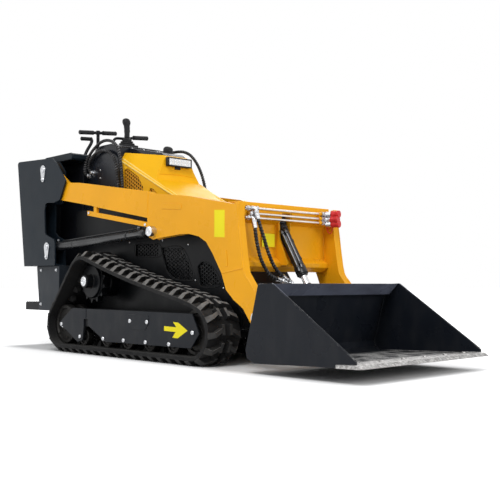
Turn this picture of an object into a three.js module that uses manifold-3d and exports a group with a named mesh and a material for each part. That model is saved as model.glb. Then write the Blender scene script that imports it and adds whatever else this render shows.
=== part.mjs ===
// Compact stand-on skid steer loader on rubber tracks, with a general-purpose bucket.
// Millimetres. +X is forward, +Y is the operator's left, +Z is up. The ground is z = 0.
import * as THREE from 'three';
import { mergeVertices } from 'three/addons/utils/BufferGeometryUtils.js';
import Module from 'manifold-3d';

const wasm = await Module();
wasm.setup();

// ---- driving dimensions -------------------------------------------------------------------
const gap = 0.3; // between pieces that touch
const wheelGap = 0.9; // between a wheel and the belt, whose bends are short flats
const pinGap = 0.4; // a pin in its bore, on the radius

// tracks
const trackInnerY = 248; // inner edge of each rubber belt from the centre plane
const beltWidth = 219;
const beltThickness = 21;
const lugHeight = 27;
const lugTop = 30; // length of a lug along the belt, at its tip
const lugRoot = 42; // and at its root
const lugCount = 45;
const idlerRadius = 119;
const sprocketRadius = 128;
const frontIdlerX = 420;
const rearIdlerX = -837;
const sprocketX = -599;
const sprocketZ = 426;
const rollerPitch = 203;
const firstRollerX = -380;
const rollerCount = 4;
const tailRollerX = -627;
const rollerRadius = 52;
const axleRadius = 20;
const guideHalf = 22; // half width of the groove in the wheels, for the belt's guide lugs
const sidePlate = 12; // thickness of the track frame's side plates
const coverPlate = 8;
const trackMargin = 30; // belt edge to the frame's side plate

// chassis
const chassisHalf = 240; // outer face of the side panels
const panel = 8;
const bellyZ = 170;
const deckZ = 878; // top of the engine bay, where the hood stands
const chassisRearX = -1014;
const consoleFrontX = -1000; // front of the box between the towers
const noseX = 560;
const hoodHalf = 178;
const hoodSheet = 4;
const screenSheet = 3;

// rear towers and lift arm pivots
const towerOuterY = 391;
const towerPlate = 10;
const towerInnerY = 308;
const towerBottomZ = 528;
const liftPivot = [-1174.7, 1149];
const liftBase = [-1117.5, 646.5];
const liftEye = [-5.7, 696];
const boxHalf = 362; // rear box under the towers
const boxRearX = -1270;
const boxBottomZ = 240;
const platformHalf = 318;
const platformRearX = -1525;
const platformZ = 288;
const platformDepth = 50;

// lift arms
const armOuterY = 372;
const armWidth = 45;
const pivotPinRadius = 22;
const basePinRadius = 16; // pin of the lift cylinder in the tower
const cylinderRadius = 26;
const rodRadius = 14;
const eyeRadius = 30;
const eyeWidth = 26;
const eyeBossRadius = 27; // pin cap outside the arm
const eyeBossReach = 34;

// bucket, its hinge on the arms and the tilt cylinder
const bucketPivot = [800, 250];
const bucketPinRadius = 18;
const tiltBase = [584.5, 738];
const tiltEye = [809, 370];
const tiltRadius = 28;
const tiltPinRadius = 14;
const tiltRodRadius = 16;
const bucketWidth = 944;
const bucketSide = 10;
const bucketSheet = 8;
const backLean = 15.4; // degrees that the bucket's back leans forward

// ---- materials ----------------------------------------------------------------------------
const paint = (color, roughness = 0.5, metalness = 0.1) =>
  new THREE.MeshStandardMaterial({ color, roughness, metalness });
const orange = paint(0xf2a516, 0.35);
const slate = paint(0x2f363e, 0.45);
const black = paint(0x17191c, 0.5);
const bucketPaint = paint(0x23272e, 0.45);
const rubber = paint(0x1b1b1c, 0.9, 0);
const steel = paint(0xb9bcc0, 0.3, 0.9);
const chromeRod = paint(0xd5d8dc, 0.12, 1);
const plastic = paint(0x101113, 0.6, 0);
const lampGlass = paint(0xe8eef2, 0.1, 0);
const padVinyl = paint(0x1c1c1e, 0.8, 0);
const redCap = paint(0xc8202c, 0.4, 0);

// ---- shape helpers ------------------------------------------------------------------------
const toSolid = (geometry) => {
  const bare = geometry.clone();
  bare.deleteAttribute('normal');
  bare.deleteAttribute('uv');
  const merged = mergeVertices(bare, 1e-4);
  return new wasm.Manifold(new wasm.Mesh({
    numProp: 3,
    vertProperties: new Float32Array(merged.attributes.position.array),
    triVerts: new Uint32Array(merged.index.array),
  }));
};

const toGeometry = (solid) => {
  const mesh = solid.getMesh();
  const geometry = new THREE.BufferGeometry();
  const corners = new Float32Array(mesh.vertProperties);
  geometry.setAttribute('position', new THREE.BufferAttribute(corners, 3));
  geometry.setIndex(new THREE.BufferAttribute(new Uint32Array(mesh.triVerts), 1));
  return geometry;
};

const join = (...parts) => toGeometry(parts.map(toSolid).reduce((a, b) => a.add(b)));
const cut = (body, ...tools) => toGeometry(tools.map(toSolid).reduce((a, b) => a.subtract(b), toSolid(body)));

// A closed outline, turned counter-clockwise so that its holes extrude the right way round.
const outline = (points) => {
  const corners = points.map(([x, z]) => new THREE.Vector2(x, z));
  return new THREE.Shape(THREE.ShapeUtils.isClockWise(corners) ? corners.reverse() : corners);
};

// A side outline in X and Z, as thick as from y0 to y1.
const slab = (shapeOrPoints, y0, y1) => {
  const shape = Array.isArray(shapeOrPoints) ? outline(shapeOrPoints) : shapeOrPoints;
  const settings = { depth: y1 - y0, bevelEnabled: false, curveSegments: 10 };
  return new THREE.ExtrudeGeometry(shape, settings).rotateX(Math.PI / 2).translate(0, y1, 0);
};

const box = (x0, x1, y0, y1, z0, z1) =>
  new THREE.BoxGeometry(x1 - x0, y1 - y0, z1 - z0).translate((x0 + x1) / 2, (y0 + y1) / 2, (z0 + z1) / 2);

// A round bar across the machine, at x and z.
const crossBar = (radius, x, z, y0, y1, sides = 24) =>
  new THREE.CylinderGeometry(radius, radius, y1 - y0, sides).translate(x, (y0 + y1) / 2, z);

// A round bar between two points.
const bar = (radius, from, to, sides = 16, endRadius = radius) => {
  const a = new THREE.Vector3(...from);
  const b = new THREE.Vector3(...to);
  const geometry = new THREE.CylinderGeometry(endRadius, radius, a.distanceTo(b), sides);
  const up = new THREE.Vector3(0, 1, 0);
  const turn = new THREE.Quaternion().setFromUnitVectors(up, b.clone().sub(a).normalize());
  return geometry.applyQuaternion(turn).translate(...a.add(b).multiplyScalar(0.5).toArray());
};

const ring = (radius, x, z, sides) => Array.from({ length: sides }, (_, i) => {
  const turn = (i / sides) * Math.PI * 2;
  return new THREE.Vector2(x + radius * Math.cos(turn), z + radius * Math.sin(turn));
});

// A tube that follows a smooth curve through its points.
const tube = (radius, points, steps, sides = 10) => {
  const round = new THREE.Shape(ring(radius, 0, 0, sides));
  const curve = new THREE.CatmullRomCurve3(points.map((p) => new THREE.Vector3(...p)), false, 'centripetal');
  return new THREE.ExtrudeGeometry(round, { steps, extrudePath: curve, bevelEnabled: false });
};

// A bent sheet: a line of points in X and Z, thickened to its left, from y0 to y1.
const sheet = (points, thickness, y0, y1) => {
  const sides = points.slice(1).map(([x, z], i) => {
    const d = new THREE.Vector2(x - points[i][0], z - points[i][1]).normalize();
    return new THREE.Vector2(-d.y, d.x);
  });
  const offset = points.map(([x, z], i) => {
    const before = sides[Math.max(i - 1, 0)];
    const after = sides[Math.min(i, sides.length - 1)];
    const mid = before.clone().add(after).normalize();
    const reach = thickness / mid.dot(before);
    return [x + mid.x * reach, z + mid.y * reach];
  });
  return slab([...points, ...offset.reverse()], y0, y1);
};

const group = new THREE.Group();
group.name = 'skid_steer_loader';
const add = (name, geometry, material) => {
  const mesh = new THREE.Mesh(geometry, material);
  mesh.name = name;
  group.add(mesh);
  return mesh;
};

// Right is -Y and left is +Y: a piece made for the left is mirrored for the right.
const mirrored = (geometry) => {
  const copy = geometry.index ? geometry.toNonIndexed() : geometry.clone();
  const p = copy.attributes.position;
  for (let i = 0; i < p.count; i += 3) {
    const swap = [p.getX(i), p.getY(i), p.getZ(i)];
    p.setXYZ(i, p.getX(i + 1), -p.getY(i + 1), p.getZ(i + 1));
    p.setXYZ(i + 1, swap[0], -swap[1], swap[2]);
    p.setY(i + 2, -p.getY(i + 2));
  }
  return copy;
};
const addPair = (name, leftGeometry, material) => {
  add(`${name}_left`, leftGeometry, material);
  add(`${name}_right`, mirrored(leftGeometry), material);
};

// ---- tracks -------------------------------------------------------------------------------
const groundRun = lugHeight + beltThickness; // height of the belt's inner face on the ground
const idlerZ = groundRun + idlerRadius;
const rollerZ = groundRun + rollerRadius;
const trackOuterY = trackInnerY + beltWidth;
const trackMidY = trackInnerY + beltWidth / 2;

// The belt's inner face, as points with their outward normals, counter-clockwise seen from the right.
const beltLine = () => {
  const line = [];
  const arc = (cx, cz, r, from, to, count) => {
    for (let i = 0; i <= count; i++) {
      const t = from + ((to - from) * i) / count;
      line.push({ x: cx + r * Math.cos(t), z: cz + r * Math.sin(t), nx: Math.cos(t), nz: Math.sin(t) });
    }
  };
  const deg = Math.PI / 180;
  const leaveFront = 55 * deg; // where the top run leaves the front idler
  const meetSprocket = 72 * deg; // and where it meets the sprocket
  const dx = sprocketX - rearIdlerX;
  const dz = sprocketZ - idlerZ;
  const lean = Math.atan2(dz, dx);
  const wider = Math.asin((sprocketRadius - idlerRadius) / Math.hypot(dx, dz));
  const rearTangent = lean + Math.PI / 2 + wider;
  arc(frontIdlerX, idlerZ, idlerRadius, -Math.PI / 2, leaveFront, 14);
  const start = line.at(-1);
  const end = {
    x: sprocketX + sprocketRadius * Math.cos(meetSprocket),
    z: sprocketZ + sprocketRadius * Math.sin(meetSprocket),
  };
  const sag = new THREE.CubicBezierCurve(
    new THREE.Vector2(start.x, start.z),
    new THREE.Vector2(start.x - 110 * Math.sin(leaveFront), start.z + 110 * Math.cos(leaveFront)),
    new THREE.Vector2(end.x + 600 * Math.sin(meetSprocket), end.z - 600 * Math.cos(meetSprocket)),
    new THREE.Vector2(end.x, end.z),
  );
  for (let i = 1; i < 20; i++) {
    const p = sag.getPoint(i / 20);
    const d = sag.getTangent(i / 20);
    line.push({ x: p.x, z: p.y, nx: d.y, nz: -d.x });
  }
  arc(sprocketX, sprocketZ, sprocketRadius, meetSprocket, rearTangent, 10);
  arc(rearIdlerX, idlerZ, idlerRadius, rearTangent, 1.5 * Math.PI, 14);
  return line;
};

const innerLine = beltLine();
const beltLength = innerLine.reduce((sum, p, i) => {
  const q = innerLine[(i + 1) % innerLine.length];
  return sum + Math.hypot(q.x - p.x, q.z - p.z);
}, 0);

// A point at a distance along the inner face, standing out from it.
const alongBelt = (distance, out) => {
  let left = ((distance % beltLength) + beltLength) % beltLength;
  for (let i = 0; i < innerLine.length; i++) {
    const p = innerLine[i];
    const q = innerLine[(i + 1) % innerLine.length];
    const step = Math.hypot(q.x - p.x, q.z - p.z);
    if (left <= step) {
      const t = left / step;
      const nx = p.nx + (q.nx - p.nx) * t;
      const nz = p.nz + (q.nz - p.nz) * t;
      const n = Math.hypot(nx, nz);
      return [p.x + (q.x - p.x) * t + (out * nx) / n, p.z + (q.z - p.z) * t + (out * nz) / n];
    }
    left -= step;
  }
  return [innerLine[0].x + out * innerLine[0].nx, innerLine[0].z + out * innerLine[0].nz];
};

const beltOutline = () => {
  const points = [];
  const pitch = beltLength / lugCount;
  for (let i = 0; i < lugCount; i++) {
    const middle = (i + 0.5) * pitch;
    points.push(alongBelt(middle - lugRoot / 2, beltThickness));
    points.push(alongBelt(middle - lugTop / 2, beltThickness + lugHeight));
    points.push(alongBelt(middle + lugTop / 2, beltThickness + lugHeight));
    points.push(alongBelt(middle + lugRoot / 2, beltThickness));
  }
  const shape = outline(points);
  shape.holes.push(new THREE.Path(innerLine.map((p) => new THREE.Vector2(p.x, p.z)).reverse()));
  return shape;
};
addPair('track_belt', slab(beltOutline(), trackInnerY, trackOuterY), rubber);

// A wheel inside the belt: two drums with a groove between them, bored for its axle.
const trackWheel = (radius, hub, outer, bore) => {
  const profile = [
    [bore, -outer], [radius, -outer], [radius, -guideHalf], [hub, -guideHalf],
    [hub, guideHalf], [radius, guideHalf], [radius, outer], [bore, outer], [bore, -outer],
  ];
  return new THREE.LatheGeometry(profile.map(([r, y]) => new THREE.Vector2(r, y)), 28);
};

const frameOuterY = trackOuterY - trackMargin;
const frameInnerY = trackInnerY + trackMargin;
const wheelHalf = 62; // half width of the idlers and rollers
const idlerWheel = (x) =>
  trackWheel(idlerRadius - wheelGap, 78, wheelHalf, axleRadius + pinGap).translate(x, trackMidY, idlerZ);
addPair('front_idler', idlerWheel(frontIdlerX), black);
addPair('rear_idler', idlerWheel(rearIdlerX), black);

// The frame: two side plates notched at the tail roller, the beam between them, axles and rollers.
const frameSide = [
  [rearIdlerX - 28, idlerZ + 8], [rearIdlerX + 120, idlerZ + 96], [frontIdlerX - 10, idlerZ + 92],
  [frontIdlerX + 44, idlerZ - 4], [frontIdlerX - 18, idlerZ - 75], [firstRollerX + 21, rollerZ - 13],
  [tailRollerX + 84, idlerZ + 4], [tailRollerX + 84, idlerZ + 40], [tailRollerX + 42, idlerZ + 40],
  [tailRollerX + 42, idlerZ + 4], [tailRollerX + 27, rollerZ - 16], [tailRollerX - 26, rollerZ - 28],
];
const rollerAxle = 14;
const mainRollers = Array.from({ length: rollerCount }, (_, i) => firstRollerX + i * rollerPitch);
const rollerXs = [tailRollerX, ...mainRollers];
const roller = (x) => [[-wheelHalf, -guideHalf], [guideHalf, wheelHalf]].map(([from, to]) =>
  crossBar(rollerRadius - gap, x, rollerZ, trackMidY + from, trackMidY + to, 16));
const beamX = [rearIdlerX + idlerRadius + 12, frontIdlerX - idlerRadius - 12];
const stubX = [-450, 180]; // cross stubs that carry the frame on the chassis
addPair('track_frame', join(
  slab(frameSide, frameOuterY - sidePlate, frameOuterY),
  slab(frameSide, frameInnerY, frameInnerY + sidePlate),
  box(beamX[0], beamX[1], frameInnerY + 1, frameOuterY - 1, rollerZ + rollerRadius + 10, idlerZ + 80),
  ...rollerXs.flatMap(roller),
  ...rollerXs.map((x) => crossBar(rollerAxle, x, rollerZ, frameInnerY + 1, frameOuterY - 1, 16)),
  ...[frontIdlerX, rearIdlerX].map((x) =>
    crossBar(axleRadius, x, idlerZ, frameInnerY + 1, frameOuterY - 1, 20)),
  ...stubX.map((x) => box(x - 50, x + 50, chassisHalf + gap, frameInnerY + 1, bellyZ + 5, bellyZ + 70)),
), black);

// Bolted cover plates outside the frame.
const coverY = [frameOuterY + gap, frameOuterY + gap + coverPlate];
const mainCover = [
  [rearIdlerX + 277, idlerZ + 99], [frontIdlerX - 4, idlerZ + 95], [frontIdlerX + 49, idlerZ - 4],
  [frontIdlerX - 14, idlerZ - 79], [firstRollerX + 20, rollerZ - 17], [rearIdlerX + 296, idlerZ + 1],
  [rearIdlerX + 296, idlerZ + 38], [rearIdlerX + 277, idlerZ + 38],
];
const rearCover = [
  [rearIdlerX + 124, idlerZ + 101], [rearIdlerX + 272, idlerZ + 99], [rearIdlerX + 272, idlerZ + 38],
  [rearIdlerX + 250, idlerZ + 38], [rearIdlerX + 250, idlerZ + 4], [tailRollerX + 28, rollerZ - 19],
  [tailRollerX - 27, rollerZ - 33], [rearIdlerX - 31, idlerZ + 7],
];
addPair('track_cover', slab(mainCover, ...coverY), slate);
addPair('rear_cover', slab(rearCover, ...coverY), slate);

// Drive sprocket on its motor drum, which reaches back to the chassis.
const toothCount = 13;
const sprocketHalf = 20;
const motorRadius = 88;
const discRadius = 98; // drum cover outside the toothed ring
const hubRadius = 41;
const toothRoot = 106;
const toothTip = sprocketRadius - wheelGap;
const toothFlanks = [[0, toothRoot], [0.28, toothRoot], [0.4, toothTip], [0.62, toothTip], [0.74, toothRoot]];
const sprocketOutline = () => {
  const points = [];
  for (let i = 0; i < toothCount; i++) {
    for (const [turn, r] of toothFlanks) {
      const a = ((i + turn) / toothCount) * Math.PI * 2;
      points.push([sprocketX + r * Math.cos(a), sprocketZ + r * Math.sin(a)]);
    }
  }
  return points;
};
addPair('sprocket', join(
  slab(sprocketOutline(), trackMidY - sprocketHalf, trackMidY + sprocketHalf),
  crossBar(motorRadius, sprocketX, sprocketZ, chassisHalf + gap, trackMidY + 10, 40),
  crossBar(discRadius, sprocketX, sprocketZ, trackMidY + 5, trackMidY + 36, 40),
  crossBar(hubRadius, sprocketX, sprocketZ, trackMidY + 34, frameOuterY + 6, 28),
), black);

// ---- chassis ------------------------------------------------------------------------------
const noseLine = [[noseX, bellyZ + 20], [noseX, 262], [330, 600], [240, 742], [-6, deckZ]];
const sideOutline = outline([
  [chassisRearX, bellyZ], [noseX - 20, bellyZ], ...noseLine, [chassisRearX, deckZ],
]);
const windows = [
  [[-357, 573], [-124, 568], [-143, 640], [-357, 640]],
  [[-112, 613], [76, 607], [169, 474], [169, 431], [18, 439], [-56, 484]],
  [[213, 502], [250, 528], [323, 508], [398, 409], [236, 402]],
];
windows.forEach((w) => sideOutline.holes.push(new THREE.Path(w.map(([x, z]) => new THREE.Vector2(x, z)))));
addPair('side_panel', slab(sideOutline, chassisHalf - panel, chassisHalf), black);

const innerHalf = chassisHalf - panel - gap;
// Mesh screens behind the side windows.
addPair('side_screen', slab([
  [-400, 560], [-30, 390], [430, 390], [430, 440], [300, 560], [140, 655], [-400, 655],
], innerHalf - screenSheet, innerHalf), black);

add('belly_pan', box(chassisRearX, noseX - 20, -innerHalf, innerHalf, bellyZ, bellyZ + panel), black);
add('front_cover', cut(
  sheet([...noseLine].reverse().map(([x, z]) => [x - 1, z]), 6, -innerHalf, innerHalf),
  box(-200, 200, -300, 300, deckZ, deckZ + 50),
), black);
add('deck_plate', box(consoleFrontX + gap, -30, -innerHalf, innerHalf, deckZ - panel, deckZ), black);
add('engine_block', box(-520, 90, -170, 170, bellyZ + panel + gap, 700), steel);

// Rear box with the oil tank, under the towers.
add('rear_box', slab([
  [-1300, towerBottomZ - gap], [boxRearX, platformZ + 6], [boxRearX, boxBottomZ],
  [chassisRearX - gap, boxBottomZ], [chassisRearX - gap, towerBottomZ - gap],
], -boxHalf, boxHalf), slate);
const rimSheet = 8;
const rimZ = [platformZ - platformDepth, platformZ - 2];
add('operator_platform', join(
  box(platformRearX, boxRearX - gap, -platformHalf, platformHalf, platformZ - 12, platformZ),
  box(platformRearX, platformRearX + rimSheet, -platformHalf, platformHalf, ...rimZ),
  box(platformRearX + 2, boxRearX - gap, platformHalf - rimSheet, platformHalf, ...rimZ),
  box(platformRearX + 2, boxRearX - gap, -platformHalf, -platformHalf + rimSheet, ...rimZ),
), black);

// ---- rear towers --------------------------------------------------------------------------
const towerSide = [
  [-1520, 1221], [-1510, 1233], [-1492, 1235], [-1067, 1215], [-1016, 1178], [-900, 1056],
  [-962, 948], [-974, 938], [-1036, 927], [-1120, 932], [-1145, 925], [-1157, 888], [-1148, 744],
  [-1138, 728], [-1107, 717], [-1034, 693], [-1024, 669], [-1021, towerBottomZ], [-1415, towerBottomZ],
];
const towerInnerSide = [
  [-1512, 1215], [-1100, 1200], [-1030, 1130], [-1060, 927], [-1145, 925], [-1148, 744],
  [-1107, 717], [-1034, 693], [-1021, towerBottomZ], [-1408, towerBottomZ],
];
const armInnerY = armOuterY - armWidth;
addPair('rear_tower', join(
  slab(towerSide, towerOuterY - towerPlate, towerOuterY),
  slab(towerInnerSide, towerInnerY, towerInnerY + towerPlate),
  slab([
    [-1519, 1215], [-1414, towerBottomZ], [-1400, towerBottomZ], [-1505, 1215],
  ], towerInnerY + 1, towerOuterY - 1), // rear sheet
  box(-1412, -1021, towerInnerY + 1, towerOuterY - 1, towerBottomZ, towerBottomZ + 10),
  crossBar(pivotPinRadius, ...liftPivot, towerInnerY + 1, towerOuterY - 1),
  crossBar(basePinRadius, ...liftBase, towerInnerY + 1, towerOuterY - 1, 20),
), slate);

// ---- console between the towers -----------------------------------------------------------
const consoleDeckZ = 1250;
const consoleHalf = 200;
const cowlHalf = 192;
const cowlTopZ = 1286;
const consoleBackX = -1290;
const consoleTopZ = 1204;
const deckHalf = towerInnerY - gap;
add('console_body', join(
  box(consoleBackX, consoleFrontX, -consoleHalf, consoleHalf, towerBottomZ, consoleTopZ),
  box(consoleBackX, consoleBackX + panel, -deckHalf, deckHalf, towerBottomZ, consoleTopZ), // back wall
), black);
add('console_deck', slab([
  [-1300, 1216], [-1288, consoleTopZ + gap], [-975, consoleTopZ + gap], [-965, 1215],
  [-965, 1240], [-990, consoleDeckZ], [-1300, consoleDeckZ],
], -deckHalf, deckHalf), slate);
add('thigh_pad', box(-1345, consoleBackX - gap, -190, 190, 860, 1150), padVinyl);

const cowlShape = new THREE.Shape();
cowlShape.moveTo(-606 - gap, deckZ + gap);
cowlShape.lineTo(-606 - gap, 1258);
cowlShape.lineTo(-700, cowlTopZ);
cowlShape.lineTo(-815, cowlTopZ);
cowlShape.quadraticCurveTo(-935, 1248, -950, 1120);
cowlShape.lineTo(-962, 1060);
cowlShape.lineTo(consoleFrontX + gap, 1060);
cowlShape.lineTo(consoleFrontX + gap, deckZ + gap);
add('console_cowl', slab(cowlShape, -cowlHalf, cowlHalf), black);

// ---- hood ---------------------------------------------------------------------------------
const hoodRearX = -606;
const lampX = -278;
const frontSlope = 0.564; // fall of the sloping front face
const creaseAt = (x) => 1046 - frontSlope * (x + 301); // its height
const hoodFootX = -301 - (deckZ + gap - 1046) / frontSlope;
const hoodTopZ = 1222;
const lampTopZ = 1178;
const hoodSide = [
  [hoodRearX, deckZ + gap], [hoodFootX, deckZ + gap], [lampX + 10, creaseAt(lampX + 10)], [lampX, 1092],
  [lampX, 1170], [lampX - 18, lampTopZ], [hoodRearX, hoodTopZ],
];
// What leans in above the crease, from the rear to the lamp, as a wedge outside one shoulder.
const shoulder = (side, inset) => {
  const wedge = new THREE.BufferGeometry();
  const rise = 210 - inset * 2;
  const lean = (rise * 75) / 130;
  const a = [hoodRearX - 50, side * (hoodHalf + 1 - inset), 1193 - inset];
  const b = [hoodFootX + 50, side * (hoodHalf + 1 - inset), creaseAt(hoodFootX + 50) - inset];
  const corner = (p, dy, dz) => [p[0], p[1] + side * dy, p[2] + dz];
  const ringA = [a, corner(a, -lean, rise), corner(a, 30, rise), corner(a, 30, 0)];
  const ringB = [b, corner(b, -lean, rise), corner(b, 30, rise), corner(b, 30, 0)];
  const v = [...ringA, ...ringB].flat();
  const quads = [[0, 1, 2, 3], [7, 6, 5, 4], [0, 4, 5, 1], [1, 5, 6, 2], [2, 6, 7, 3], [3, 7, 4, 0]];
  const index = quads.flatMap(([p, q, r, s]) => (side > 0 ? [p, q, r, p, r, s] : [p, r, q, p, s, r]));
  wedge.setAttribute('position', new THREE.Float32BufferAttribute(v, 3));
  wedge.setIndex(index);
  return wedge;
};
const hoodShell = (inset) => {
  const grown = slab(inset === 0 ? hoodSide : [
    [hoodRearX + inset, deckZ - 20], [hoodFootX - inset * 2 + 36, deckZ - 20],
    [lampX + 10 - inset, creaseAt(lampX + 10) - inset], [lampX - inset, 1092 - inset],
    [lampX - inset, 1170 - inset], [lampX - 18, lampTopZ - inset * 1.2],
    [hoodRearX + inset, hoodTopZ - inset * 1.2],
  ], -hoodHalf + inset, hoodHalf - inset);
  return cut(grown, shoulder(1, inset), shoulder(-1, inset));
};
const grillePoints = [[-568, 950], [-570, 1108], [-530, 1114], [-424, 1054], [-372, 985], [-372, 950]];
const ventPoints = [[-330, 925], [-303, 974], [-275, 968], [-225, 930], [-225, 915], [-325, 915]];
const through = (points) => slab(points, -hoodHalf - 5, hoodHalf + 5);
add('hood', cut(hoodShell(0), hoodShell(hoodSheet), through(grillePoints), through(ventPoints)), orange);
addPair('hood_screen', slab([
  [-585, 1110], [-530, 1119], [-410, 1056], [-215, 950], [-215, 905], [-585, 905],
], hoodHalf - hoodSheet - gap - screenSheet, hoodHalf - hoodSheet - gap), black);
const panelHalf = 118;
const panelRear = [hoodRearX, 1256];
const panelFront = [lampX - 40, 1196];
add('top_panel', cut(slab([
  [hoodRearX, hoodTopZ + gap], [lampX - 18, lampTopZ + gap], panelFront, panelRear,
], -panelHalf, panelHalf), shoulder(1, 0), shoulder(-1, 0)), black);
const panelSlope = (panelRear[1] - panelFront[1]) / (panelFront[0] - panelRear[0]);
const capX = -368;
const capZ = panelRear[1] - panelSlope * (capX - hoodRearX);
const onPanel = (rise) => [capX + panelSlope * rise, 0, capZ + rise];
add('filler_cap', join(
  bar(30, onPanel(gap * 2), onPanel(17), 20),
  bar(30, onPanel(16.5), onPanel(25), 20, 14),
), plastic);
add('headlight', join(
  box(lampX + gap, lampX + 34, -90, 90, 1110, 1164),
  box(lampX + gap, lampX + 12, -20, 20, 1096, 1112),
), lampGlass);

// Guarded hoses that arch from the cowl's sides down to the deck beside the hood.
const hoseRadius = 10;
const hoseElbow = (x, z, side) => bar(13, [x, side * (cowlHalf + gap), z], [x, side * 212, z], 12);
const hoseFootZ = deckZ + 8;
add('cowl_hoses_right', join(
  hoseElbow(-932, 1104, -1),
  hoseElbow(-890, 1120, -1),
  tube(hoseRadius, [
    [-932, -206, 1104], [-946, -211, 1109], [-957, -214, 1132], [-951, -214, 1172], [-926, -214, 1214],
    [-880, -214, 1252], [-827, -214, 1281], [-768, -214, 1302], [-704, -214, 1304], [-640, -214, 1286],
    [-598, -214, 1254], [-571, -214, 1205], [-552, -214, 1136], [-540, -214, 1053], [-532, -214, 960],
    [-530, -214, hoseFootZ],
  ], 34, 8),
  tube(hoseRadius, [
    [-890, -206, 1120], [-906, -211, 1129], [-915, -214, 1160], [-893, -214, 1202], [-840, -214, 1234],
    [-775, -214, 1246], [-705, -214, 1236], [-652, -214, 1208], [-618, -214, 1168], [-598, -214, 1110],
    [-584, -214, 1030], [-574, -214, 950], [-570, -214, hoseFootZ],
  ], 30, 8),
  box(-586, -514, -228, -200, deckZ + gap, deckZ + 16),
), rubber);
add('cowl_hose_left', join(
  hoseElbow(-932, 1104, 1),
  tube(hoseRadius, [
    [-932, 206, 1104], [-946, 211, 1109], [-957, 214, 1130], [-950, 214, 1170], [-916, 214, 1214],
    [-860, 214, 1248], [-780, 214, 1266], [-690, 214, 1268], [-600, 214, 1262], [-530, 214, 1259],
    [-474, 214, 1250], [-415, 214, 1225], [-366, 214, 1184], [-326, 214, 1134], [-295, 214, 1078],
    [-270, 214, 1010], [-256, 214, 940], [-252, 214, hoseFootZ],
  ], 34, 8),
  box(-272, -232, 200, 228, deckZ + gap, deckZ + 16),
), rubber);

// ---- controls -----------------------------------------------------------------------------
const stickX = -752;
const stickY = -34;
add('joystick', join(
  box(stickX - 46, stickX + 46, stickY - 46, stickY + 46, cowlTopZ + gap, cowlTopZ + 12),
  bar(40, [stickX, stickY, cowlTopZ + 11], [stickX, stickY, cowlTopZ + 30], 20, 32),
  bar(32, [stickX, stickY, cowlTopZ + 29], [stickX, stickY, cowlTopZ + 52], 20, 15),
  bar(15, [stickX, stickY, cowlTopZ + 50], [stickX - 4, stickY - 5, cowlTopZ + 158], 16, 19),
  bar(21, [stickX - 4, stickY - 4, cowlTopZ + 152], [stickX - 2, stickY + 6, cowlTopZ + 188], 16, 24),
), plastic);
const handle = [-1085, -36, 1424];
const byHandle = (y, z) => [handle[0], handle[1] + y, z];
add('travel_handle', join(
  bar(15, byHandle(-146, handle[2] - 13), byHandle(-40, handle[2] - 4)),
  bar(15, byHandle(40, handle[2] + 4), byHandle(146, handle[2] + 13)),
  bar(10, byHandle(-60, handle[2] - 5), byHandle(60, handle[2] + 5)),
  bar(11, handle, byHandle(0, 1310)),
  bar(36, byHandle(0, consoleDeckZ + gap), byHandle(0, 1312), 20, 14),
), plastic);
add('rest_bar', join(
  bar(13, [-1115, -150, 1376], [-1115, -66, 1382]),
  tube(11, [
    [-1115, -80, 1380], [-1105, -64, 1370], [-1100, -110, 1300], [-1100, -130, consoleDeckZ + 14],
  ], 12),
  bar(18, [-1100, -130, consoleDeckZ + gap], [-1100, -130, consoleDeckZ + 20]),
), plastic);
add('grab_bar', join(
  bar(14, [-800, -105, cowlTopZ + gap], [-800, -105, cowlTopZ + 14]),
  tube(9, [
    [-800, -105, cowlTopZ + 6], [-800, -100, 1325], [-800, -78, 1345], [-800, -10, 1350], [-800, 60, 1366],
  ], 16),
  bar(15, [-800, 50, 1364], [-800, 165, 1374]),
), plastic);

// ---- lift arms ----------------------------------------------------------------------------
const lockEndX = -65; // where the lock bar meets the deep part of the arm
const armShape = outline([
  [-1230, 1150], [-1222, 1178], [-1200, 1197], [-1174, 1204], [-1148, 1197], [-1122, 1180], [-1000, 1090],
  [-938, 1050], [-866, 1040], [-767, 1031], [-348, 966], [-66, 921], [-41, 910], [292, 867], [640, 802],
  [676, 812], [672, 740], [684, 650], [697, 558], [716, 465], [756, 416], [810, 345], [842, 280], [848, 250],
  [842, 227], [824, 209], [800, 202], [776, 209], [759, 229], [710, 292], [640, 335], [587, 382], [553, 464],
  [486, 563], [436, 623], [376, 654], [293, 671], [218, 671], [31, 658], [-10, 652], [-45, 665], [-62, 700],
  [lockEndX, 774], [-588, 870], [-629, 880], [-996, 943], [-1060, 962], [-1150, 1080], [-1215, 1110],
]);
const bore = (r, x, z) => new THREE.Path(ring(r, x, z, 24));
armShape.holes.push(
  bore(pivotPinRadius + pinGap, ...liftPivot),
  bore(bucketPinRadius + pinGap, ...bucketPivot),
);
const armMidY = armOuterY - armWidth / 2;
const slotHalf = eyeWidth / 2 + 5;
const eyeSlot = slab([
  [-90, 800], [-90, 600], [60, 600], [72, 700], [50, 752], [0, 770],
], armMidY - slotHalf, armMidY + slotHalf);
addPair('lift_arm', join(
  cut(slab(armShape, armInnerY, armOuterY), eyeSlot),
  crossBar(eyeBossRadius, ...liftEye, armOuterY - 1, armOuterY + eyeBossReach, 28),
), orange);

// Safety lock bar, stowed under each arm on its post.
addPair('arm_lock', slab([
  [-675, 824], [lockEndX - gap, 722], [lockEndX - gap, 750], [-576, 836], [-576, 867], [-606, 873],
  [-606, 841], [-675, 853],
], armOuterY - 20, armOuterY), orange);

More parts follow.
